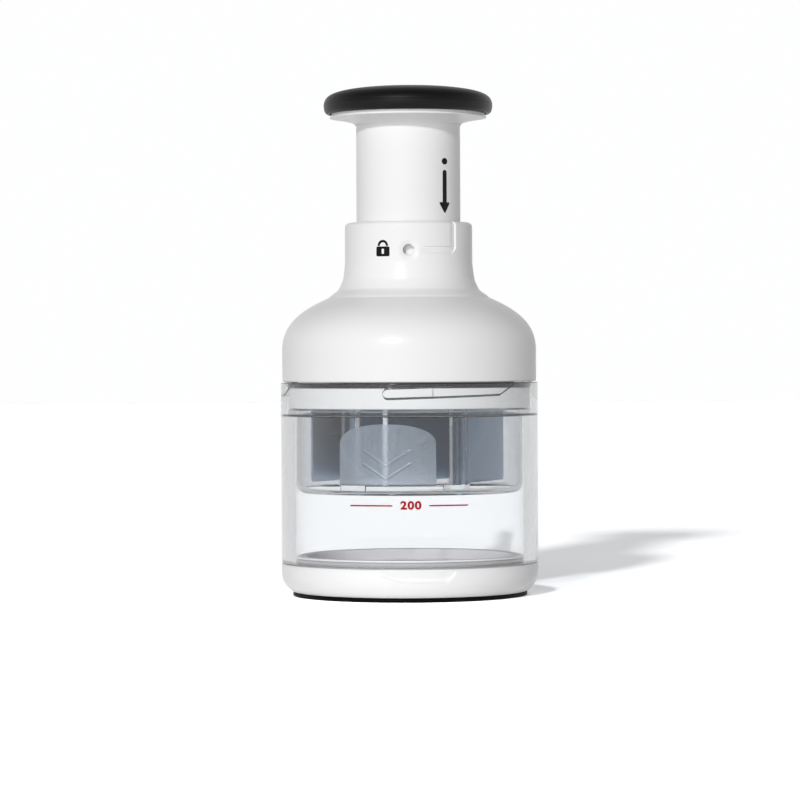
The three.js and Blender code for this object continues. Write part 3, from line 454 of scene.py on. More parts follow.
def cup_column(angle, after_roof=False):
    """The cup's wall at an angle, as (radius, z, painted edge shade) points. Where there is no
    channel, it has no depth."""
    run = (angle - lug_start - channel_start) % 120 + channel_start
    floor = lug_low + run * lug_pitch - lug_gap
    roof = floor + lug_height + 2 * lug_gap
    if run < channel_round:
        left = (run - channel_start) / (channel_round - channel_start)
        shrink = (roof - floor) / 2 * (1 - max(0.1, math.sqrt(left * (2 - left))))
        floor, roof = floor + shrink, roof - shrink
    depth = channel_depth if run < channel_top else 0.0
    is_open = run > channel_roof_end + 1e-6 or after_roof
    if run > channel_ramp_foot:
        share = (run - channel_ramp_foot) / (channel_top - channel_ramp_foot)
        floor += (cup_high.z - 0.0004 - floor) * share
    top = (mouth_radius + depth if is_open else mouth_radius, cup_high.z, 0.0005)
    roof_height = cup_high.z - roof_gap if is_open else roof
    roof_radius = mouth_radius + depth if is_open else mouth_radius
    corners = [
        (cup_inner, cup_low.z, 0.0005),
        (cup_radius, cup_low.z, 0.0006),
        (cup_radius, cup_high.z, 0.0004),
        top,
        (roof_radius, roof_height, channel_corner),
        (mouth_radius + depth, min(roof_height, cup_high.z - roof_gap), channel_corner),
        (mouth_radius + depth, floor, channel_corner),
        (mouth_radius, floor, channel_corner),
        (mouth_radius, cup_ledge, 0.0004),
        (cup_inner, cup_ledge, 0.0005),
    ]
    # Clear plastic looks dark where an edge is rounded, as the edge bends the light away; that
    # darkness is painted on here as near black. These are the painted dark ones of each corner's
    # seven points, painted less dark on the two corners at the foot.
    painted_dark = {1: range(2, 5), 2: range(1, 6), 3: range(1, 6), 8: range(1, 7), 9: range(6)}
    if depth:
        painted_dark.update({6: range(1, 6), 7: range(1, 6)})
    if depth and not is_open:
        painted_dark.update({4: range(1, 7), 5: range(6)})
    return [
        (point.x, point.y, (foot_edge_painted_shade if i < 14 else 1.0) * (i % 7 in painted_dark.get(i // 7, ())))
        for i, point in enumerate(rounded(corners, 4))
    ]


# Three times round: a plain column, the roofed channel, the open one, its ramp and the plain wall.
cup_columns = []
for third in range(3):
    start = lug_start + 120 * third
    cup_columns.append((start + channel_start, [
        (radius, z, 0.0) for radius, z, edge in cup_column(start + channel_top + 1)
    ]))
    for step in range(33):
        angle = start + channel_start + (channel_roof_end - channel_start) * step / 32
        cup_columns.append((angle, cup_column(angle)))
    for step in range(25):
        angle = start + channel_roof_end + (channel_ramp_foot - channel_roof_end) * step / 24
        cup_columns.append((angle, cup_column(angle, True)))
    for step in range(1, 17):
        angle = start + channel_ramp_foot + (channel_top - channel_ramp_foot) * step / 16
        cup_columns.append((angle, cup_column(angle, True)))
    for step in range(1, 52):
        angle = start + channel_top + (120 + channel_start - channel_top) * step / 52
        cup_columns.append((angle, cup_column(angle)))
cup = smooth(around("cup_clear", cup_columns, "edge"), 24)
cup_plastic = clear_glass("clear_cup_plastic", (0.965, 0.975, 0.98), 0.0)[0]
# Painted shade: the marked rounded edges get near black, standing for the dark that clear plastic
# shows at a rounded edge.
shade_of(cup_plastic, "edge", (0.004, 0.004, 0.005), 0.1)
fitted(cup, cup_plastic, "cup", "clear_plastic", "cup")


# Fill mark. Red ink printed on the cup's outside, a fine line to each side of a plain number. It
# shows how far the cup may be filled.
def ink(name, colour):
    return moulded(name, colour, 0.45, 0.0002, 0.000003, tone=0.08, gloss=0.12)


def print_round(name, flat, radius, angle, height, thickness=0.00004, widen=1.0):
    """Wraps a flat drawing, made in X and Y about its middle, round the axis as a layer of ink."""
    graph = bpy.context.evaluated_depsgraph_get()
    bm = bmesh.new()
    bm.from_mesh(bpy.data.meshes.new_from_object(flat.evaluated_get(graph)))
    bpy.data.objects.remove(flat)
    bmesh.ops.triangulate(bm, faces=bm.faces)
    across = [vert.co.x for vert in bm.verts]
    strip = 0.0004
    cut = min(across) + strip
    while cut < max(across):
        everything = bm.verts[:] + bm.edges[:] + bm.faces[:]
        bmesh.ops.bisect_plane(bm, geom=everything, plane_co=(cut, 0, 0), plane_no=(1, 0, 0))
        cut += strip
    layer = bmesh.ops.extrude_face_region(bm, geom=bm.faces[:])
    for item in layer["geom"]:
        if isinstance(item, bmesh.types.BMVert):
            item.co.z += thickness
    for vert in bm.verts:
        turn = math.radians(angle) + vert.co.x * widen / radius
        out = radius + max(0.0, vert.co.z) + thickness / 2
        vert.co = (out * math.sin(turn), -out * math.cos(turn), height + vert.co.y)
    return linked(name, bm)


def line_drawing(name, outlines, filled=True, closed=True):
    """A flat drawing from outlines of (x, y) points. In a filled one, inner outlines are holes."""
    data = bpy.data.curves.new(name, "CURVE")
    data.dimensions = "2D" if filled else "3D"
    if filled:
        data.fill_mode = "BOTH"
    for outline in outlines:
        line = data.splines.new("POLY")
        line.points.add(len(outline) - 1)
        for point, (x, y) in zip(line.points, outline):
            point.co = (x, y, 0, 1)
        line.use_cyclic_u = closed
    return placed(name, data)


def slab(left, right, low, high, corner, steps=5):
    """The outline of a rectangle with round corners."""
    corners = [(x, y, corner) for x, y in ((left, low), (right, low), (right, high), (left, high))]
    return [(point.x, point.y) for point in rounded(corners, steps)]


red_ink = ink("red_ink", (0.38, 0.006, 0.012))
fill_height = 0.0401
fill_line_height = 0.0006
for side, from_angle, to_angle in (("left", -26.6, -7.5), ("right", 8.4, 26.0)):
    half = math.radians(to_angle - from_angle) * cup_radius / 2
    drawing = line_drawing("line", [
        slab(-half, half, -fill_line_height / 2, fill_line_height / 2, fill_line_height * 0.3, 3)
    ])
    line = print_round(
        f"fill_line_{side}", drawing, cup_radius, (from_angle + to_angle) / 2, fill_height
    )
    fitted(line, red_ink, "cup", "clear_plastic")
number_data = bpy.data.curves.new("number", "FONT")
number_data.body = "200"
number_data.size = 0.0046
number_data.offset = 0.00019
number_data.space_character = 1.12
number_data.align_x = "CENTER"
number_data.align_y = "CENTER"
number = placed("number", number_data)
bpy.context.view_layer.update()
fill_number = print_round("fill_number", number, cup_radius, 0.45, fill_height, widen=1.15)
fitted(fill_number, red_ink, "cup", "clear_plastic")


# Rim seal. A silicone ring that lies loose on the cover's shoulder, just inside the cup's mouth,
# and closes the gap between cup and housing. Its near black colour is painted shade, the dark of
# that gap seen through the cup.
rim_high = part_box("rim_seal")[1]
rim_inner = 0.04965
skirt_shoulder_height = 0.0882
rim_foot = skirt_shoulder_height + 0.00005
rim_seal = turned("rim_seal_ring", [
    (rim_inner, rim_foot, 0.0003),
    (rim_high.x, rim_foot, 0.0003),
    (rim_high.x, rim_high.z, 0.0003),
    (rim_inner, rim_high.z, 0.0003),
])
# Painted shade: the ring's near black colour stands for the dark gap between cup and housing.
dark_silicone = moulded("dark_silicone", (0.03, 0.026, 0.029), 0.55, 0.0005, 0.00002, gloss=0.2)
fitted(rim_seal, dark_silicone, "rim", "seal_silicone", "rim_seal")


# Bayonet cover. A white moulding that closes the housing from below. Three lugs stand out of its
# skirt and run in the cup's channels.
def settled(piece):
    """Turns the piece's modifiers into its mesh."""
    graph = bpy.context.evaluated_depsgraph_get()
    piece.data = bpy.data.meshes.new_from_object(piece.evaluated_get(graph))
    piece.modifiers.clear()
    return piece


def carved(piece, tool, operation, crease=32):
    """Joins another solid to the piece or cuts it away. The tool is used up."""
    change = piece.modifiers.new("carve", "BOOLEAN")
    change.object = tool
    change.operation = operation
    change.solver = "EXACT"
    settled(piece)
    bpy.data.objects.remove(tool)
    return smooth(piece, crease)


def shape_tree(name, **sockets):
    """A Geometry Nodes tree with named inputs, with its given values and a way to add nodes."""
    tree = bpy.data.node_groups.new(name, "GeometryNodeTree")
    for socket, kind in sockets.items():
        tree.interface.new_socket(
            socket.replace("_", " "), in_out="INPUT", socket_type="NodeSocket" + kind
        )
    tree.interface.new_socket("Geometry", in_out="OUTPUT", socket_type="NodeSocketGeometry")
    add = node_adder(tree)
    return tree, add("NodeGroupInput").outputs, add


def painted_shape(add, shape, material):
    """The end of a tree: the shape is made real and gets its material."""
    real = add("GeometryNodeRealizeInstances", Geometry=shape)
    painted = add("GeometryNodeSetMaterial", Geometry=real.outputs["Geometry"], Material=material)
    add("NodeGroupOutput", Geometry=painted.outputs["Geometry"])


def copies_tree():
    """Geometry nodes that stand copies of a piece round the axis."""
    tree, given, add = shape_tree(
        "copies_round_the_axis", Geometry="Geometry", Count="Int", Start="Float",
        Material="Material",
    )
    row = add("GeometryNodeMeshLine", Count=given["Count"], Offset=(0, 0, 0))
    number = add("GeometryNodeInputIndex").outputs["Index"]
    step = add("ShaderNodeMath", math.tau, given["Count"], operation="DIVIDE").outputs["Value"]
    turn = add("ShaderNodeMath", number, step, given["Start"], operation="MULTIPLY_ADD")
    about = add("ShaderNodeCombineXYZ", Z=turn.outputs["Value"])
    stand = add(
        "GeometryNodeInstanceOnPoints", Points=row.outputs["Mesh"], Instance=given["Geometry"],
        Rotation=about.outputs["Vector"],
    )
    painted_shape(add, stand.outputs["Instances"], given["Material"])
    return tree


round_the_axis = copies_tree()


def with_nodes(piece, tree, **values):
    """Runs a node tree on the piece, with its inputs set by name, and keeps what it makes."""
    change = piece.modifiers.new("shape", "NODES")
    change.node_group = tree
    for item in tree.interface.items_tree:
        if item.item_type == "SOCKET" and item.in_out == "INPUT" and item.name in values:
            change[item.identifier] = values[item.name]
    graph = bpy.context.evaluated_depsgraph_get()
    mesh = bpy.data.meshes.new_from_object(piece.evaluated_get(graph))
    name = piece.name
    bpy.data.objects.remove(piece)
    return smooth(placed(name, mesh))


def copied_round(piece, count, start, material):
    return with_nodes(
        piece, round_the_axis, Count=count, Start=math.radians(start), Material=material
    )


def circle_of(node):
    """How far from the axis the middle of a node stands."""
    low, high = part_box(node)
    return Vector(low).lerp(high, 0.5).xy.length


skirt_radius = 0.0513
skirt_inner = 0.0493
skirt_bottom = 0.0794
cover_neck_inner = 0.047
cover_neck_top = 0.0939
cover_floor_low, cover_floor_high = 0.0861, 0.0883
cover_boss_radius = 0.008
cover_boss_low = 0.0839
shaft_bore = 0.00435
lug_span = 21.8
lug_end_span = 2.1
lug_proud = 0.00125
lug_root = 0.0006
lug_edge = 0.00025
cover_screw_circle = circle_of("cover_screw_1")
screw_bore = 0.0017
cover = turned("bayonet_cover_moulding", [
    (shaft_bore, cover_boss_low, 0.0003),
    (cover_boss_radius, cover_boss_low, 0.0004),
    (cover_boss_radius, cover_floor_low, 0.0006),
    (skirt_inner, cover_floor_low, 0.0008),
    (skirt_inner, skirt_bottom, 0.0004),
    (skirt_radius, skirt_bottom, 0.0006),
    (skirt_radius, skirt_shoulder_height, 0.0006),
    (skirt_inner, skirt_shoulder_height, 0.0002),
    (skirt_inner, cover_neck_top, 0.0003),
    (cover_neck_inner, cover_neck_top, 0.0003),
    (cover_neck_inner, cover_floor_high, 0.0006),
    (shaft_bore, cover_floor_high, 0.0003),
], 240)


def lug():
    """One bayonet lug: a bar on the helix with a round leading end and eased edges."""
    stations = [lug_end_span * (1 - math.cos(math.pi / 2 * i / 10)) for i in range(10)]
    stations += [lug_end_span + (lug_span - lug_end_span) * i / 18 for i in range(19)]
    face = skirt_radius + lug_proud
    columns = []
    for run in stations:
        left = min(1.0, run / lug_end_span)
        half = lug_height / 2 * max(0.12, math.sqrt(left * (2 - left)))
        middle = lug_low + run * lug_pitch + lug_height / 2
        columns.append((lug_start + run, [
            (skirt_radius - lug_root, middle - half),
            (face - lug_edge, middle - half),
            (face, middle - half + min(lug_edge, half * 0.5)),
            (face, middle + half - min(lug_edge, half * 0.5)),
            (face - lug_edge, middle + half),
            (skirt_radius - lug_root, middle + half),
        ]))
    return around("lug", columns, whole=False)


def round_bar(name, radius, low, high, x, y, facets=40):
    """An upright round bar."""
    bm = bmesh.new()
    bmesh.ops.create_cone(
        bm, cap_ends=True, segments=facets, radius1=radius, radius2=radius, depth=high - low,
        matrix=Matrix.Translation((x, y, (low + high) / 2)),
    )
    return linked(name, bm)


cover = carved(cover, copied_round(lug(), 3, 0, white_plastic), "UNION")
screw_hole = round_bar("hole", screw_bore, 0.08, 0.095, 0, -cover_screw_circle)
cover = carved(cover, copied_round(screw_hole, 3, 60, white_plastic), "DIFFERENCE")
fitted(cover, white_plastic, "housing", "white_plastic", "bayonet_cover")


# Housing shell. Collar, shoulder and skirt in one glossy white moulding. The collar has the lock
# hole in its dish, and a shallow track that leads from the top down and across to the hole.
housing_low, housing_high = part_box("housing_shell")
housing_radius = housing_high.x
housing_wall = 0.0024
housing_bore = skirt_inner + 0.0003
housing_lip = housing_low.z + 0.0025
housing_top = housing_high.z
collar_radius = 0.027
collar_top_edge = 0.0019
flare_top = housing_top - 0.0191
flare_end = flare_top - 0.0126
flare_radius = collar_radius + 0.007
shoulder_foot = housing_low.z + 0.0133
skirt_top = shoulder_foot - 0.001
neck_bore = 0.0246
neck_step = 0.13195
flange_bore = 0.0265
flange_depth = 0.0018
collar_lip_radius = 0.0227
collar_lip = 0.0024
lock_hole_height = housing_top - 0.0121
lock_hole_radius = 0.00235
lock_hole_middle, lock_hole_reach = 0.0255, 0.01
lock_dish_radius = 0.00495
lock_dish_depth = 0.0018
track_turn = math.radians(44)
track_half = 0.00135
track_depth = 0.00055
track_wall = 0.0004
track_top = housing_top - 0.0012
track_corner = 0.0016
track_inner_radius = 0.0245


def track_distance(along, height):
    """Distance from the track's middle line, which runs down the collar, round a corner, across."""
    end, low, corner = track_turn * collar_radius, lock_hole_height, track_corner
    if along > end - corner and height < low + corner:
        return abs(math.hypot(along - (end - corner), height - (low + corner)) - corner)
    if along <= end - corner and height < low + 4 * corner:
        return math.hypot(min(0.0, along), height - low)
    return math.hypot(along - end, max(0.0, height - track_top))


def collar_dip(turn, z):
    """How deep the track and the dish are cut into the collar."""
    along = turn * collar_radius
    if abs(along) > 0.03 or z < lock_hole_height - 0.008:
        return 0.0
    track = track_depth * ease((track_half - track_distance(along, z)) / track_wall + 0.5)
    if along < 0.011 and z < lock_hole_height + 0.003:
        track *= ease((along - 0.0035) / 0.0075)
    away = math.hypot(along, z - lock_hole_height) / lock_dish_radius
    dish = lock_dish_depth * (1 - ease(away)) if away < 1 else 0.0
    return max(track, dish)


def flowing(points, steps=5):
    """A smooth line through the points."""
    line = []
    for i in range(len(points) - 1):
        p0, p1, p2, p3 = (
            Vector(points[max(0, min(len(points) - 1, i + k))]) for k in (-1, 0, 1, 2)
        )
        for step in range(steps):
            t = step / steps
            line.append(0.5 * (
                2 * p1 + (p2 - p0) * t + (2 * p0 - 5 * p1 + 4 * p2 - p3) * t * t
                + (3 * p1 - p0 - 3 * p2 + p3) * t ** 3
            ))
    return line + [Vector(points[-1])]


def inset(curve, wall):
    """Points of a curve moved inwards by a wall."""
    moved = []
    for i, point in enumerate(curve):
        along = (curve[min(i + 1, len(curve) - 1)] - curve[max(i - 1, 0)]).normalized()
        moved.append(point + wall * Vector((-along.y, along.x)))
    return moved


shoulder = bend([
    (housing_radius, shoulder_foot),
    (housing_radius, shoulder_foot + 0.54 * (flare_end - shoulder_foot)),
    (
        flare_radius + 0.53 * (housing_radius - flare_radius),
        shoulder_foot + 0.79 * (flare_end - shoulder_foot),
    ),
    (flare_radius, flare_end),
], 28)
# From the shoulder's end up to the collar, as (radius, z).
flare = flowing([
    (flare_radius, flare_end),
    (0.0333, 0.12682),
    (0.0316, 0.12802),
    (0.0305, 0.12885),
    (0.0298, 0.12955),
    (0.0293, 0.13045),
    (0.02865, 0.13190),
    (0.0280, 0.13360),
    (0.0275, 0.13640),
    (collar_radius + 0.0001, flare_top + 0.001),
    (collar_radius, flare_top + 0.002),
], 3)
collar_rows = [
    Vector((collar_radius, flare[-1].y + (housing_top - collar_top_edge - flare[-1].y) * i / 84))
    for i in range(1, 85)
]
collar_edge = [
    Vector((
        collar_radius - collar_top_edge * (1 - math.cos(math.pi / 2 * i / 10)),
        housing_top - collar_top_edge * (1 - math.sin(math.pi / 2 * i / 10)),
    ))
    for i in range(1, 11)
]
housing_outside = (
    rounded([
        (housing_bore, housing_low.z, 0.0003),
        (housing_radius, housing_low.z, 0.0007),
        (housing_radius, skirt_top, 0),
    ])
    + shoulder
    + flare[1:]
    + collar_rows
    + collar_edge
)
housing_inside = (
    rounded([
        (collar_radius - collar_top_edge - 0.0001, housing_top, 0),
        (collar_lip_radius, housing_top, 0.0005),
        (collar_lip_radius, housing_top - collar_lip, 0.0001),
        (neck_bore, housing_top - collar_lip, 0),
        (neck_bore, neck_step, 0),
        (flange_bore, neck_step, 0),
        (flange_bore, neck_step - flange_depth, 0),
    ])
    + [
        point
        for point in reversed(inset(shoulder + flare[1:], housing_wall))
        if point.x > flange_bore + 0.0005 and point.y < neck_step - 0.0022
    ]
    + rounded([
        (housing_radius - housing_wall, skirt_top, 0),
        (housing_radius - housing_wall, housing_lip, 0.0008),
        (housing_bore, housing_lip, 0.0002),
    ])
)
# The columns stand close where the hole and the track are, and far apart elsewhere.
housing_columns = []
for angle in [-13 + 0.33 * i for i in range(192)] + [51 + 2.05 * i for i in range(144)]:
    turn = math.radians(angle)
    outside = [
        (point.x - (collar_dip(turn, point.y) if point.x > track_inner_radius else 0), point.y)
        for point in housing_outside
    ]
    housing_columns.append((angle, outside + [(point.x, point.y) for point in housing_inside]))
housing = around("housing_moulding", housing_columns)
bm = bmesh.new()
lock_hole_place = Matrix.Translation((0, -lock_hole_middle, lock_hole_height))
bmesh.ops.create_cone(
    bm, cap_ends=True, segments=64, radius1=lock_hole_radius, radius2=lock_hole_radius,
    depth=lock_hole_reach, matrix=lock_hole_place @ Matrix.Rotation(math.pi / 2, 4, "X"),
)
housing = carved(housing, linked("hole", bm), "DIFFERENCE")
fitted(housing, white_plastic, "housing", "white_plastic", "housing_shell")


# Lock mark. A small padlock printed in black on the collar, beside the lock hole. It says that the
# knob is locked when the dot shows in the hole.
black_ink = ink("black_ink", (0.004, 0.004, 0.005))
lock_half = 0.003
lock_body_low, lock_body_high = -0.0036, 0.0005
shackle_outer, shackle_inner = 0.00235, 0.00135
shackle_foot, shackle_spring = 0.00075, 0.0009
keyhole_half, keyhole_low, keyhole_high = 0.00055, -0.0026, -0.0004
arch = [
    (radius * math.cos(math.pi * i / 16), shackle_spring + radius * math.sin(math.pi * i / 16))
    for radius, order in ((shackle_outer, range(17)), (shackle_inner, range(16, -1, -1)))
    for i in order
]
arch = [(shackle_outer, shackle_foot)] + arch[:17] + [(-shackle_outer, shackle_foot)] + [
    (-shackle_inner, shackle_foot)
] + arch[17:] + [(shackle_inner, shackle_foot)]
drawing = line_drawing("padlock", [
    slab(-lock_half, lock_half, lock_body_low, lock_body_high, 0.0006),
    slab(-keyhole_half, keyhole_half, keyhole_low, keyhole_high, 0.0004),
    arch,
])
lock_mark = print_round("lock_mark", drawing, collar_radius, -23.5, 0.1466)
fitted(lock_mark, black_ink, "housing", "white_plastic")


# Plunger tube. A glossy white tube. Two lugs at its foot keep it in the housing, and a web near its
# top carries the knob.
plunger_low, plunger_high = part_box("plunger_tube")
plunger_radius = 0.02205
plunger_wall = 0.002
web_low, web_high = 0.19575, 0.19825
plunger_lug_high = plunger_low.z + 0.0035
plunger_lug_radius = plunger_high.x
plunger_lug_half_span = 9


def plunger_column(lugged):
    foot = plunger_lug_radius if lugged else plunger_radius
    corners = [
        (plunger_radius - plunger_wall, plunger_low.z, 0.0003),
        (foot, plunger_low.z, 0.0003),
        (foot, plunger_lug_high, 0.0003),
        (plunger_radius, plunger_lug_high, 0.0003),
        (plunger_radius, plunger_high.z, 0.0004),
        (plunger_radius - plunger_wall, plunger_high.z, 0.0004),
        (plunger_radius - plunger_wall, web_high, 0.0005),
        (shaft_bore, web_high, 0.0002),
        (shaft_bore, web_low, 0.0002),
        (plunger_radius - plunger_wall, web_low, 0.0005),
    ]
    return [(point.x, point.y) for point in rounded(corners, 4)]


# Half the tube and a lug, twice over.
plunger_columns = []
for middle in (90, 270):
    from_angle, to_angle = middle - plunger_lug_half_span, middle + plunger_lug_half_span
    plunger_columns += [(from_angle - 162 + 2.25 * i, plunger_column(False)) for i in range(73)]
    plunger_columns += [(from_angle + 1.8 * i, plunger_column(True)) for i in range(11)]
plunger = smooth(around("plunger_moulding", plunger_columns))
knob_screw_circle = circle_of("knob_screw_1")
web_hole = round_bar("hole", screw_bore, web_low - 0.001, web_high + 0.001, 0, -knob_screw_circle)
plunger = carved(plunger, copied_round(web_hole, 2, 90, white_plastic), "DIFFERENCE")
fitted(plunger, white_plastic, "plunger", "white_plastic", "plunger_tube")


# Arrow and dot. They are printed in black on the tube, under the knob. They show which way the
# knob goes to lock, and the dot is what shows in the lock hole then.
mark_angle = 43.7
dot_height = 0.1830
dot_half_width, dot_half_height = 0.0016, 0.00138
arrow_top, arrow_shoulder, arrow_tip = 0.1794, 0.1658, 0.1614
shaft_half, head_half = 0.00115, 0.0028
dot = [
    (dot_half_width * math.cos(math.tau * i / 40), dot_half_height * math.sin(math.tau * i / 40))
    for i in range(40)
]
drawing = line_drawing("dot", [dot])
dot_mark = print_round("dot_mark", drawing, plunger_radius, mark_angle, dot_height)
fitted(dot_mark, black_ink, "plunger", "white_plastic")
arrow = [
    (
        shaft_half * math.cos(math.pi * i / 14),
        arrow_top - shaft_half + shaft_half * math.sin(math.pi * i / 14),
    )
    for i in range(15)
]
arrow += [
    (-shaft_half, arrow_shoulder),
    (-head_half * 0.94, arrow_shoulder),
    (-head_half, arrow_shoulder - 0.0003),
    (-head_half, arrow_shoulder - 0.0006),
    (-0.0003, arrow_tip),
    (0.0003, arrow_tip),
    (head_half, arrow_shoulder - 0.0006),
    (head_half, arrow_shoulder - 0.0003),
    (head_half * 0.94, arrow_shoulder),
    (shaft_half, arrow_shoulder),
]
drawing = line_drawing("arrow", [arrow])
arrow_mark = print_round("arrow_mark", drawing, plunger_radius, mark_angle, 0)
fitted(arrow_mark, black_ink, "plunger", "white_plastic")


# Knob core. A stiff white moulding whose coned flange shows under the cap. It sits over the tube's
# top and is screwed to the web from below.
knob_core_low, knob_core_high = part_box("knob_core")
flange_radius = knob_core_high.x
flange_top = knob_core_low.z + 0.0035
core_radius = flange_radius - 0.0008
core_edge = knob_core_high.z - 0.0026
core_shoulder = 0.0024
core_gap = 0.0003
core_sleeve_gap = 0.00035
core_boss_radius = 0.0115
core_boss_top = web_high + 0.0077
flange_curve = bend([
    (plunger_radius + core_sleeve_gap, knob_core_low.z + 0.0006),
    (plunger_radius + 0.0009, knob_core_low.z + 0.0017),
    (plunger_radius + 0.0045, knob_core_low.z + 0.0028),
    (flange_radius - 0.0002, flange_top + 0.0001),
], 20)
core_outline = [(point.x, point.y, 0) for point in flange_curve] + [
    (flange_radius, flange_top + 0.0002, 0),
    (flange_radius, flange_top + 0.0005, 0),
    (core_radius, flange_top + 0.0005, 0),
    (core_radius, core_edge - core_shoulder, 0),
    (core_radius - core_shoulder, core_edge, 0),
    (0, knob_core_high.z, 0),
    (0, core_boss_top, 0),
    (core_boss_radius, core_boss_top, 0.0006),
    (core_boss_radius, web_high + core_gap, 0.0003),
    (plunger_radius - plunger_wall - core_sleeve_gap, web_high + core_gap, 0.0004),
    (plunger_radius - plunger_wall - core_sleeve_gap, plunger_high.z + core_gap, 0.0004),
    (plunger_radius + core_sleeve_gap, plunger_high.z + core_gap, 0.0003),
]
knob_core = turned("knob_core_moulding", core_outline)
pilot = round_bar("hole", screw_bore, web_high - 0.001, web_low + 0.0093, 0, -knob_screw_circle)
knob_core = carved(knob_core, copied_round(pilot, 2, 90, white_plastic), "DIFFERENCE")
fitted(knob_core, white_plastic, "plunger", "white_plastic", "knob_core")


# Knob cap. Soft black rubber moulded over the core, with a crowned top for the palm, a full round
# edge and a faint parting line round it.
cap_grain = moulded(
    "soft_black_grained", (0.0015, 0.0015, 0.0013), 0.42, 0.00035, 0.00005, 0.05, 0.1, 0.22
)
cap_low, cap_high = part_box("knob_cap")
cap_radius = cap_high.x + 0.0001
# The crown from its middle out, and then the side with its parting line, as (radius, z).
cap_crown = [
    (0.0000, 0.21545), (0.0060, 0.21541), (0.0134, 0.21521), (0.0200, 0.21476), (0.0252, 0.21412),
    (0.0291, 0.21336), (0.0319, 0.21248), (0.0338, 0.21142), (0.0349, 0.21032), (0.03545, 0.20922),
]
parting_height, parting_depth, parting_half = 0.2081, 0.00014, 0.00016
cap_side = [
    (cap_radius - 0.0001, parting_height + 0.0004),
    (cap_radius - 0.00003, parting_height + parting_half),
    (cap_radius - parting_depth, parting_height),
    (cap_radius, parting_height - parting_half),
    (cap_radius + 0.00001, parting_height - 0.0007),
    (cap_radius - 0.0001, 0.20610),
    (cap_radius - 0.0004, 0.20500),
    (cap_radius - 0.0009, 0.20425),
    (cap_radius - 0.0015, 0.20388),
    (cap_radius - 0.0022, cap_low.z),
    (core_radius + 0.0004, cap_low.z),
    (core_radius + 0.0002, cap_low.z + 0.0002),
]
cap_outline = [(point.x, point.y) for point in flowing(cap_crown + cap_side)] + [
    (core_radius + 0.0002, core_edge - core_shoulder + core_gap),
    (core_radius - core_shoulder, core_edge + core_gap),
    (0, knob_core_high.z + core_gap),
]
knob_cap = smooth(around("knob_cap_rubber", [(1.5 * i, cap_outline) for i in range(240)]), 50)
fitted(knob_cap, cap_grain, "plunger", "soft_black", "knob_cap")


# Screws. Zinc plated pan heads with a cross recess, driven up from below. Three hold the cover in
# the housing and two hold the knob on its tube.
def plated(name, colour, roughness):
    """Metal with a fine uneven sheen."""
    material, shader, add, links = surface_nodes(name, colour, roughness)
    shader.inputs["Metallic"].default_value = 1
    place = add("ShaderNodeTexCoord").outputs["Object"]
    mottle = add("ShaderNodeTexNoise", Vector=place, Scale=900.0, Detail=3.0)
    wander = ranged(add, mottle.outputs["Fac"], roughness - 0.08, roughness + 0.08)
    links.new(wander, shader.inputs["Roughness"])
    return material


zinc = plated("zinc_plate", (0.62, 0.62, 0.63), 0.32)
screw_head_radius = 0.0026
screw_head_height = 0.0021
screw_radius = 0.0015
screw_turns = 9
screw_recess_wide, screw_recess_narrow, screw_recess_depth = 0.0032, 0.0008, 0.0011


def screw(low, high):
    """A pan head screw that points up, standing at the front of the axis."""
    corners = [
        (0, 0, 0),
        (screw_head_radius * 0.6, 0, 0),
        (screw_head_radius, 0.0005, 0.0005),
        (screw_head_radius, screw_head_height, 0.0002),
        (screw_radius, screw_head_height, 0.0002),
    ]
    thread = (high - low - screw_head_height - 0.0012) / screw_turns
    for turn in range(screw_turns):
        foot = screw_head_height + 0.0003 + thread * turn
        corners += [
            (screw_radius * 0.8, foot + thread * 0.25, 0),
            (screw_radius, foot + thread * 0.6, 0),
            (screw_radius * 0.8, foot + thread * 0.95, 0),
        ]
    corners += [(0.0004, high - low, 0), (0, high - low, 0)]
    made = turned("screw", corners, 32)
    for width, length in (
        (screw_recess_wide, screw_recess_narrow),
        (screw_recess_narrow, screw_recess_wide),
    ):
        bm = bmesh.new()
        size = Matrix.Diagonal((width, length, 2 * screw_recess_depth, 1))
        bmesh.ops.create_cube(bm, size=1, matrix=size)
        made = carved(made, linked("recess", bm), "DIFFERENCE")
    return made


def screw_set(name, node, count, circle, start, body):
    low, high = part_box(node + "_1")
    item = screw(low.z, high.z)
    item.data.transform(Matrix.Translation((0, -circle, low.z)))
    item.name = name
    screws = copied_round(item, count, start, zinc)
    nodes = [f"{node}_{i + 1}" for i in range(count)]
    return fitted(screws, zinc, body, "zinc_screws", *nodes)


screw_set("cover_screws", "cover_screw", 3, cover_screw_circle, 60, "housing")
screw_set("knob_screws", "knob_screw", 2, knob_screw_circle, 90, "plunger")


# Return spring. Drawn steel wire wound in ten coils round the index sleeve. It lifts the spring
# cap, and here it keeps one length as the knob goes down.
def spring_tree():
    """Geometry nodes that wind a wire round the axis."""
    tree, given, add = shape_tree(
        "wound_wire", Geometry="Geometry", Turns="Float", Coil_Radius="Float", Foot="Float",
        Rise="Float", Wire_Radius="Float", Material="Material",
    )
    coil = add(
        "GeometryNodeCurveSpiral", Resolution=48, Rotations=given["Turns"],
        Start_Radius=given["Coil Radius"], End_Radius=given["Coil Radius"], Height=given["Rise"],
    )
    wire = add("GeometryNodeCurvePrimitiveCircle", Resolution=16, Radius=given["Wire Radius"])
    drawn = add(
        "GeometryNodeCurveToMesh", Curve=coil.outputs["Curve"],
        Profile_Curve=wire.outputs["Curve"], Fill_Caps=True,
    )
    lift = add("ShaderNodeCombineXYZ", Z=given["Foot"])
    raised = add(
        "GeometryNodeTransform", Geometry=drawn.outputs["Mesh"], Translation=lift.outputs["Vector"]
    )
    painted_shape(add, raised.outputs["Geometry"], given["Material"])
    return tree


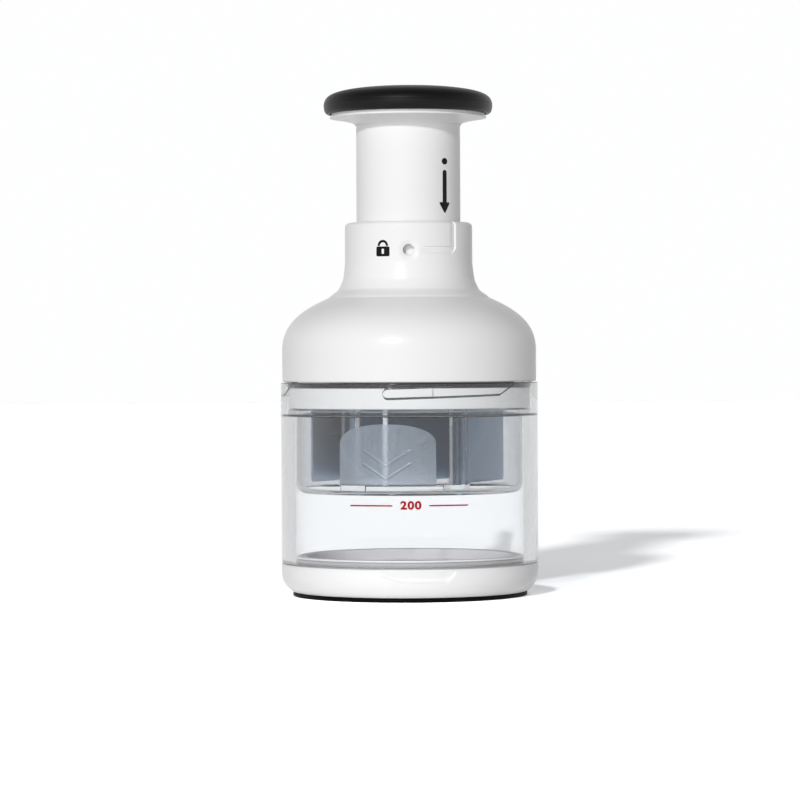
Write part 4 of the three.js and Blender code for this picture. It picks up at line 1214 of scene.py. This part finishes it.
spring_steel = plated("spring_wire", (0.42, 0.43, 0.45), 0.28)
spring_low, spring_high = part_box("return_spring")
wire_radius = 0.001
coil_radius = 0.011
host = placed("return_spring_wire", bpy.data.meshes.new("wire"))
spring = with_nodes(host, spring_tree(), **{
    "Turns": 10.0,
    "Coil Radius": coil_radius,
    "Foot": spring_low.z + wire_radius,
    "Rise": spring_high.z - spring_low.z - 2 * wire_radius,
    "Wire Radius": wire_radius,
    "Material": spring_steel,
})
fitted(spring, spring_steel, "housing", "spring_steel", "return_spring")
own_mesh(spring)


# Blade carrier. A stiff acetal disc under the cover, moulded with the groove that holds the blade.
# Its hub is pressed on the drive shaft.
acetal = moulded("satin_acetal", (0.66, 0.655, 0.635), 0.4, 0.0004, 0.00001)
carrier_low, carrier_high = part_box("blade_carrier")
carrier_radius = carrier_high.x
carrier_disc_top = carrier_high.z - 0.0017
carrier_hub_radius, carrier_bore = 0.007, 0.0042
carrier_bore_foot = carrier_high.z - 0.0029
carrier = turned("blade_carrier_moulding", [
    (0, carrier_low.z, 0),
    (carrier_radius, carrier_low.z, 0.0007),
    (carrier_radius, carrier_disc_top, 0.0007),
    (carrier_hub_radius, carrier_disc_top, 0.0006),
    (carrier_hub_radius, carrier_high.z, 0.0004),
    (carrier_bore, carrier_high.z, 0.0003),
    (carrier_bore, carrier_bore_foot, 0),
    (0, carrier_bore_foot, 0),
])
fitted(carrier, acetal, "cutter", "acetal", "blade_carrier")


# Blade. One strip of spring hard steel, folded into a zigzag with small radii and ground to an edge
# along its lower side.
def blade_tree():
    """Geometry nodes that run the blade's section along its folds."""
    tree, given, add = shape_tree(
        "folded_strip", Geometry="Geometry", Fold_Radius="Float", Section="Object",
        Material="Material",
    )
    bent = add(
        "GeometryNodeFilletCurve", mode="POLY", Curve=given["Geometry"], Count=8,
        Radius=given["Fold Radius"],
    )
    upright = add("GeometryNodeSetCurveNormal", mode="Z_UP", Curve=bent.outputs["Curve"])
    section = add("GeometryNodeObjectInfo", Object=given["Section"])
    strip = add(
        "GeometryNodeCurveToMesh", Curve=upright.outputs["Curve"],
        Profile_Curve=section.outputs["Geometry"], Fill_Caps=True,
    )
    painted_shape(add, strip.outputs["Mesh"], given["Material"])
    return tree


def rolled_steel(name, colour, roughness):
    """Rolled sheet steel: fine lines along the sheet and a slight cloudiness."""
    material, shader, add, links = surface_nodes(name, colour, roughness)
    shader.inputs["Metallic"].default_value = 1
    place = add("ShaderNodeTexCoord").outputs["Object"]
    spread = add("ShaderNodeMapping", Vector=place, Scale=(60.0, 60.0, 4000.0))
    lines = add("ShaderNodeTexNoise", Vector=spread.outputs["Vector"], Scale=1.0, Detail=4.0)
    wander = ranged(add, lines.outputs["Fac"], roughness - 0.1, roughness + 0.12)
    links.new(wander, shader.inputs["Roughness"])
    bump = add("ShaderNodeBump", Height=lines.outputs["Fac"], Strength=1.0, Distance=0.000004)
    links.new(bump.outputs["Normal"], shader.inputs["Normal"])
    return material


blade_steel = rolled_steel("blade_steel", (0.31, 0.42, 0.55), 0.3)
blade_low, blade_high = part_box("zigzag_blade")
blade_half = 0.0004
blade_bevel = 0.0016
blade_end_radius = 0.0416
blade_fold_radius = 0.0401
blade_folds = [-76, -149.7, -35.2, 144.8, 30.3, 101]
blade_bend = 0.0012
blade_path = []
for i, angle in enumerate(blade_folds):
    radius = blade_end_radius if i in (0, len(blade_folds) - 1) else blade_fold_radius
    turn = math.radians(angle)
    blade_path.append((radius * math.sin(turn), -radius * math.cos(turn)))
section = line_drawing("section", [[
    (-blade_half, -blade_high.z),
    (blade_half, -blade_high.z),
    (blade_half, -blade_low.z - blade_bevel),
    (0, -blade_low.z),
    (-blade_half, -blade_low.z - blade_bevel),
]], filled=False)
blade_line = line_drawing("zigzag_blade_steel", [blade_path], filled=False, closed=False)
blade = with_nodes(blade_line, blade_tree(), **{
    "Fold Radius": blade_bend, "Section": section, "Material": blade_steel,
})
bpy.data.objects.remove(section)
fitted(blade, blade_steel, "cutter", "steel", "zigzag_blade")


# Guard. A thin shroud of grey translucent plastic round the blade. Its lower edge curls inwards,
# and its front has an arched, frosted grip with two moulded chevrons that point down.
guard_low, guard_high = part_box("guard_shell")
guard_radius = 0.0479
guard_wall = 0.0017
guard_inner = guard_radius - guard_wall
guard_curl = 0.004
guard_row = 0.00024
guard_flange_low, guard_flange_high = 0.0769, 0.0791
guard_flange_radius = guard_high.x
guard_spigot_radius = 0.0489
arch_middle = math.radians(-11.2)
arch_half = math.radians(23.9)
arch_low = guard_low.z + 0.0046
arch_high = guard_flange_low - 0.0036
arch_side_share = 0.68
arch_proud = 0.00015
arch_slope = 0.0003
chevron_top = arch_low + 0.0144
chevron_drop = 0.0066
chevron_pitch = 0.0055
chevron_half_span = math.radians(11.6)
chevron_half_stroke = 0.00042
chevron_proud = 0.00032
chevron_slope = 0.00022
chevron_end, chevron_end_slope = 1.03, 0.06


def arch_share(turn, z):
    """One inside the frosted arch, nothing outside it, with a narrow slope at its edge."""
    across = (turn - arch_middle) / arch_half
    if abs(across) >= 1.02:
        return 0.0
    bow = math.sqrt(max(0.0, 1 - min(1.0, abs(across)) ** 2.4))
    top = arch_low + (arch_high - arch_low) * (arch_side_share + (1 - arch_side_share) * bow)
    inside = min((1 - abs(across)) * arch_half * guard_radius, z - arch_low, (top - z) * 0.8)
    return ease(inside / arch_slope + 0.5)


def chevron_share(turn, z):
    """One on the middle line of a chevron, falling to nothing at its edges."""
    across = abs(turn - arch_middle) / chevron_half_span
    if across > chevron_end:
        return 0.0
    most = 0.0
    for i in range(2):
        line = chevron_top - chevron_pitch * i - chevron_drop * (1 - min(across, 1.0))
        slant = chevron_drop / (chevron_half_span * guard_radius)
        away = abs(z - line) / math.hypot(1, slant)
        end = ease((chevron_end - across) / chevron_end_slope)
        most = max(most, end * ease((chevron_half_stroke - away) / chevron_slope + 0.5))
    return most


def guard_relief(turn, z):
    return max(arch_proud * arch_share(turn, z), chevron_proud * chevron_share(turn, z))


curl_middle = guard_radius - guard_curl
curl_outside = [
    Vector((
        curl_middle + guard_curl * math.sin(math.pi / 2 * i / 12),
        guard_low.z + guard_curl * (1 - math.cos(math.pi / 2 * i / 12)),
    ))
    for i in range(13)
]
curl_inside = [
    Vector((
        curl_middle + (guard_curl - guard_wall) * math.sin(math.pi / 2 * i / 12),
        guard_low.z + guard_curl - (guard_curl - guard_wall) * math.cos(math.pi / 2 * i / 12),
    ))
    for i in range(12, -1, -1)
]
guard_rows = [
    Vector((guard_radius, guard_low.z + guard_curl + guard_row * i))
    for i in range(1, int((guard_flange_low - guard_low.z - guard_curl) / guard_row))
]
guard_top = rounded([
    (guard_radius, guard_flange_low - 0.0001, 0),
    (guard_radius, guard_flange_low, 0),
    (guard_flange_radius, guard_flange_low, 0.0003),
    (guard_flange_radius, guard_flange_high, 0.0004),
    (guard_spigot_radius, guard_flange_high, 0.0003),
    (guard_spigot_radius, guard_high.z, 0.0004),
    (guard_inner, guard_high.z, 0.0004),
    (guard_inner, guard_low.z + guard_curl + 0.001, 0),
])
# The columns stand close where the grip is, and far apart elsewhere.
guard_columns = []
for angle in [-40 + 0.33 * i for i in range(167)] + [16 + 1.9 * i for i in range(160)]:
    turn = math.radians(angle)
    outside = [
        (point.x + (guard_relief(turn, point.y) if point.x > guard_radius - 0.0002 else 0), point.y)
        for point in curl_outside + guard_rows
    ]
    rest = [(point.x, point.y) for point in guard_top + curl_inside]
    guard_columns.append((angle, outside + rest))
guard = smooth(around("guard_moulding", guard_columns), 40)
frost = guard.data.attributes.new("frost", "FLOAT", "POINT")
frost_values = []
for vert in guard.data.vertices:
    turn = math.atan2(vert.co.x, -vert.co.y)
    out = vert.co.xy.length > guard_radius - 0.0003
    frost_values.append(arch_share(turn, vert.co.z) if out and vert.co.z < arch_high else 0.0)
frost.data.foreach_set("value", frost_values)
smoke_plastic, smoke_shader, smoke_add, smoke_links = clear_glass(
    "grey_translucent_plastic", (0.84, 0.85, 0.865), 0.03, 0.02
)
shade_of(smoke_plastic, "frost", (0.45, 0.51, 0.58), 0.5)
frosted = smoke_add("ShaderNodeAttribute", attribute_name="frost")
speckle = smoke_add(
    "ShaderNodeTexNoise",
    Vector=smoke_add("ShaderNodeTexCoord").outputs["Object"], Scale=2000.0, Detail=2.0,
)
grained = smoke_add(
    "ShaderNodeMath", speckle.outputs["Fac"], frosted.outputs["Fac"], operation="MULTIPLY"
).outputs["Value"]
smoke_bump = smoke_add("ShaderNodeBump", Height=grained, Distance=0.0001)
smoke_links.new(smoke_bump.outputs["Normal"], smoke_shader.inputs["Normal"])
veil = ranged(smoke_add, grained, 1.0, 0.38, 0.25, 0.65)
smoke_links.new(veil, smoke_shader.inputs["Transmission Weight"])
fitted(guard, smoke_plastic, "housing", "smoke_plastic", "guard_shell")


# Guard cage. A clear moulding inside the guard: a ring over its top, four posts that end in feet,
# and a thin milky rib behind the grip.
cage_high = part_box("guard_cage")[1]
cage_outer = guard_inner - 0.0003
cage_inner = cage_outer - 0.0036
cage_ring_inner = cage_outer - 0.0016
cage_ring_low = cage_high.z - 0.0016
post_low = guard_low.z + guard_curl + 0.0003
post_span = 8.6
post_angles = (-31.6, 25.8)
cage_foot_span = 15.2
cage_foot_high = guard_low.z + 0.0045
cage_foot_outer = curl_middle - 0.00045
rib_angle, rib_span = -12.0, 2.4
rib_inner = cage_inner + 0.0018


def block(name, middle, span, low, high, inner, outer, edge=0.00035):
    """A bar bent round the axis, with eased edges."""
    section = [(inner, low), (outer, low), (outer, high), (inner, high)]
    columns = [(middle + span * (i / 10 - 0.5), section) for i in range(11)]
    piece = around(name, columns, whole=False)
    eased = piece.modifiers.new("edges", "BEVEL")
    eased.width = edge
    eased.segments = 3
    eased.limit_method = "ANGLE"
    eased.angle_limit = math.radians(40)
    return settled(piece)


cage = turned("guard_cage_clear", [
    (cage_ring_inner, cage_ring_low, 0.0003),
    (guard_spigot_radius, cage_ring_low, 0.0003),
    (guard_spigot_radius, cage_high.z, 0.0003),
    (cage_ring_inner, cage_high.z, 0.0003),
])
for angle in post_angles:
    post = block("post", angle, post_span, post_low, cage_ring_low + 0.0006, cage_inner, cage_outer)
    foot = block(
        "foot", angle, cage_foot_span, guard_low.z, cage_foot_high, cage_inner, cage_foot_outer,
        0.0002,
    )
    post = carved(post, foot, "UNION")
    cage = carved(cage, copied_round(post, 2, 0, clear_plastic), "UNION", 20)
milky_plastic = moulded("milky_clear_plastic", (0.9, 0.9, 0.9), 0.3, 0.0005, 0.00001)
rib_high = cage_ring_low - 0.0002
rib = block("guard_rib", rib_angle, rib_span, post_low, rib_high, rib_inner, cage_outer)
smooth(rib, 20)
fitted(cage, clear_plastic, "housing", "clear_plastic", "guard_cage")
fitted(rib, milky_plastic, "housing", "clear_plastic")


# Hidden works. The shaft with its pin, clip and washers, and the sleeves that guide, lock and turn
# it, keep their solids and get the finish of turned steel or satin acetal.
turned_steel = rolled_steel("turned_steel", (0.5, 0.53, 0.56), 0.3)
for node, material in (
    ("guide_bushing", acetal),
    ("lock_sleeve", acetal),
    ("index_sleeve", acetal),
    ("spring_cap", acetal),
    ("thrust_washer", acetal),
    ("drive_shaft", turned_steel),
    ("index_pin", turned_steel),
    ("shaft_clip", spring_steel),
):
    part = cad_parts[node]
    part.data.materials.clear()
    part.data.materials.append(material)


# Floor and studio. A wide white sheet that keeps the chopper's shadow, white air round it, one
# small lamp far off to the front left and a broad one low in front.
def seen_white(add, inner=0.39):
    """One where the camera, a reflection or a view through clear plastic looks straight at the
    backdrop, less after a reflection inside the plastic, and nothing for the light it gives."""
    path = add("ShaderNodeLightPath").outputs

    def combined(kind, first, second):
        return add("ShaderNodeMath", first, second, operation=kind).outputs["Value"]

    bounced = combined(
        "MULTIPLY",
        combined("GREATER_THAN", path["Glossy Depth"], 0.5),
        combined("GREATER_THAN", path["Transmission Depth"], 0.5),
    )
    looking = combined("MAXIMUM", path["Is Glossy Ray"], path["Is Transmission Ray"])
    kept = combined("SUBTRACT", 1.0, combined("MULTIPLY", bounced, 1 - inner))
    return combined("MAXIMUM", path["Is Camera Ray"], combined("MULTIPLY", looking, kept))


floor_reach, floor_front = 6.0, 1.2
paper_lit, paper_seen = 0.95, 2.3
glow_level = 0.15
floor_mesh = bpy.data.meshes.new("floor")
floor_mesh.from_pydata(
    [
        (-floor_reach, -floor_front, 0),
        (floor_reach, -floor_front, 0),
        (floor_reach, floor_reach, 0),
        (-floor_reach, floor_reach, 0),
    ],
    [], [(0, 1, 2, 3)],
)
floor = placed("floor", floor_mesh)
floor_material = bpy.data.materials.new("floor_sheet")
floor_material.use_nodes = True
floor_tree = floor_material.node_tree
floor_tree.nodes.remove(floor_tree.nodes["Principled BSDF"])
add = node_adder(floor_tree)
floor_seen = seen_white(add)
paper = add("ShaderNodeBsdfDiffuse", Color=ranged(add, floor_seen, paper_lit, paper_seen))
level = add("ShaderNodeMath", glow_level, floor_seen, operation="MULTIPLY")
glow = add("ShaderNodeEmission", Strength=level.outputs["Value"])
both = add("ShaderNodeAddShader", paper.outputs["BSDF"], glow.outputs["Emission"])
floor_tree.links.new(both.outputs["Shader"], floor_tree.nodes["Material Output"].inputs["Surface"])
floor_mesh.materials.append(floor_material)

air_colour, air_level = (0.96, 0.97, 1.0, 1), 0.2
ceiling_from, ceiling_to, ceiling_shade = 0.22, 0.7, 0.12
world = bpy.data.worlds.new("studio")
bpy.context.scene.world = world
world.use_nodes = True
world_tree = world.node_tree
add = node_adder(world_tree)
air = world_tree.nodes["Background"]
air.inputs["Color"].default_value = air_colour
air.inputs["Strength"].default_value = air_level
way = add("ShaderNodeSeparateXYZ", add("ShaderNodeTexCoord").outputs["Generated"])
ceiling = ranged(
    add, way.outputs["Z"], 1.0, ceiling_shade, ceiling_from, ceiling_to,
    interpolation_type="SMOOTHSTEP",
)
shaded = add("ShaderNodeMath", ceiling, seen_white(add), operation="MULTIPLY")
brightest = add(
    "ShaderNodeMath", shaded.outputs["Value"],
    add("ShaderNodeLightPath").outputs["Is Camera Ray"], operation="MAXIMUM",
)
white = add("ShaderNodeBackground", Strength=brightest.outputs["Value"])
both = add("ShaderNodeAddShader", air.outputs["Background"], white.outputs["Background"])
world_tree.links.new(both.outputs["Shader"], world_tree.nodes["World Output"].inputs["Surface"])


def lamp(name, kind, energy, place, towards):
    """A lamp at a place, turned so that its light comes from the way given."""
    made = placed(name, bpy.data.lights.new(name, kind))
    made.data.energy = energy
    made.visible_transmission = False
    aim = Vector(towards).to_track_quat("Z", "Y").to_matrix().to_4x4()
    made.matrix_world = Matrix.Translation(place) @ aim
    return made


far_lamp = lamp("far_lamp", "SUN", 1.46, (0, 0, 0), (-0.255, -0.888, 0.383))
far_lamp.data.angle = math.radians(4)
chopper_middle = Vector((0, 0, 0.1))
front_place = Vector((-0.45, -2.25, 0.15))
front_lamp = lamp("front_lamp", "AREA", 19, front_place, front_place - chopper_middle)
front_lamp.data.shape = "RECTANGLE"
front_lamp.data.size, front_lamp.data.size_y = 1.3, 0.36
front_lamp.visible_glossy = False

bpy.context.scene.view_settings.view_transform = "Standard"
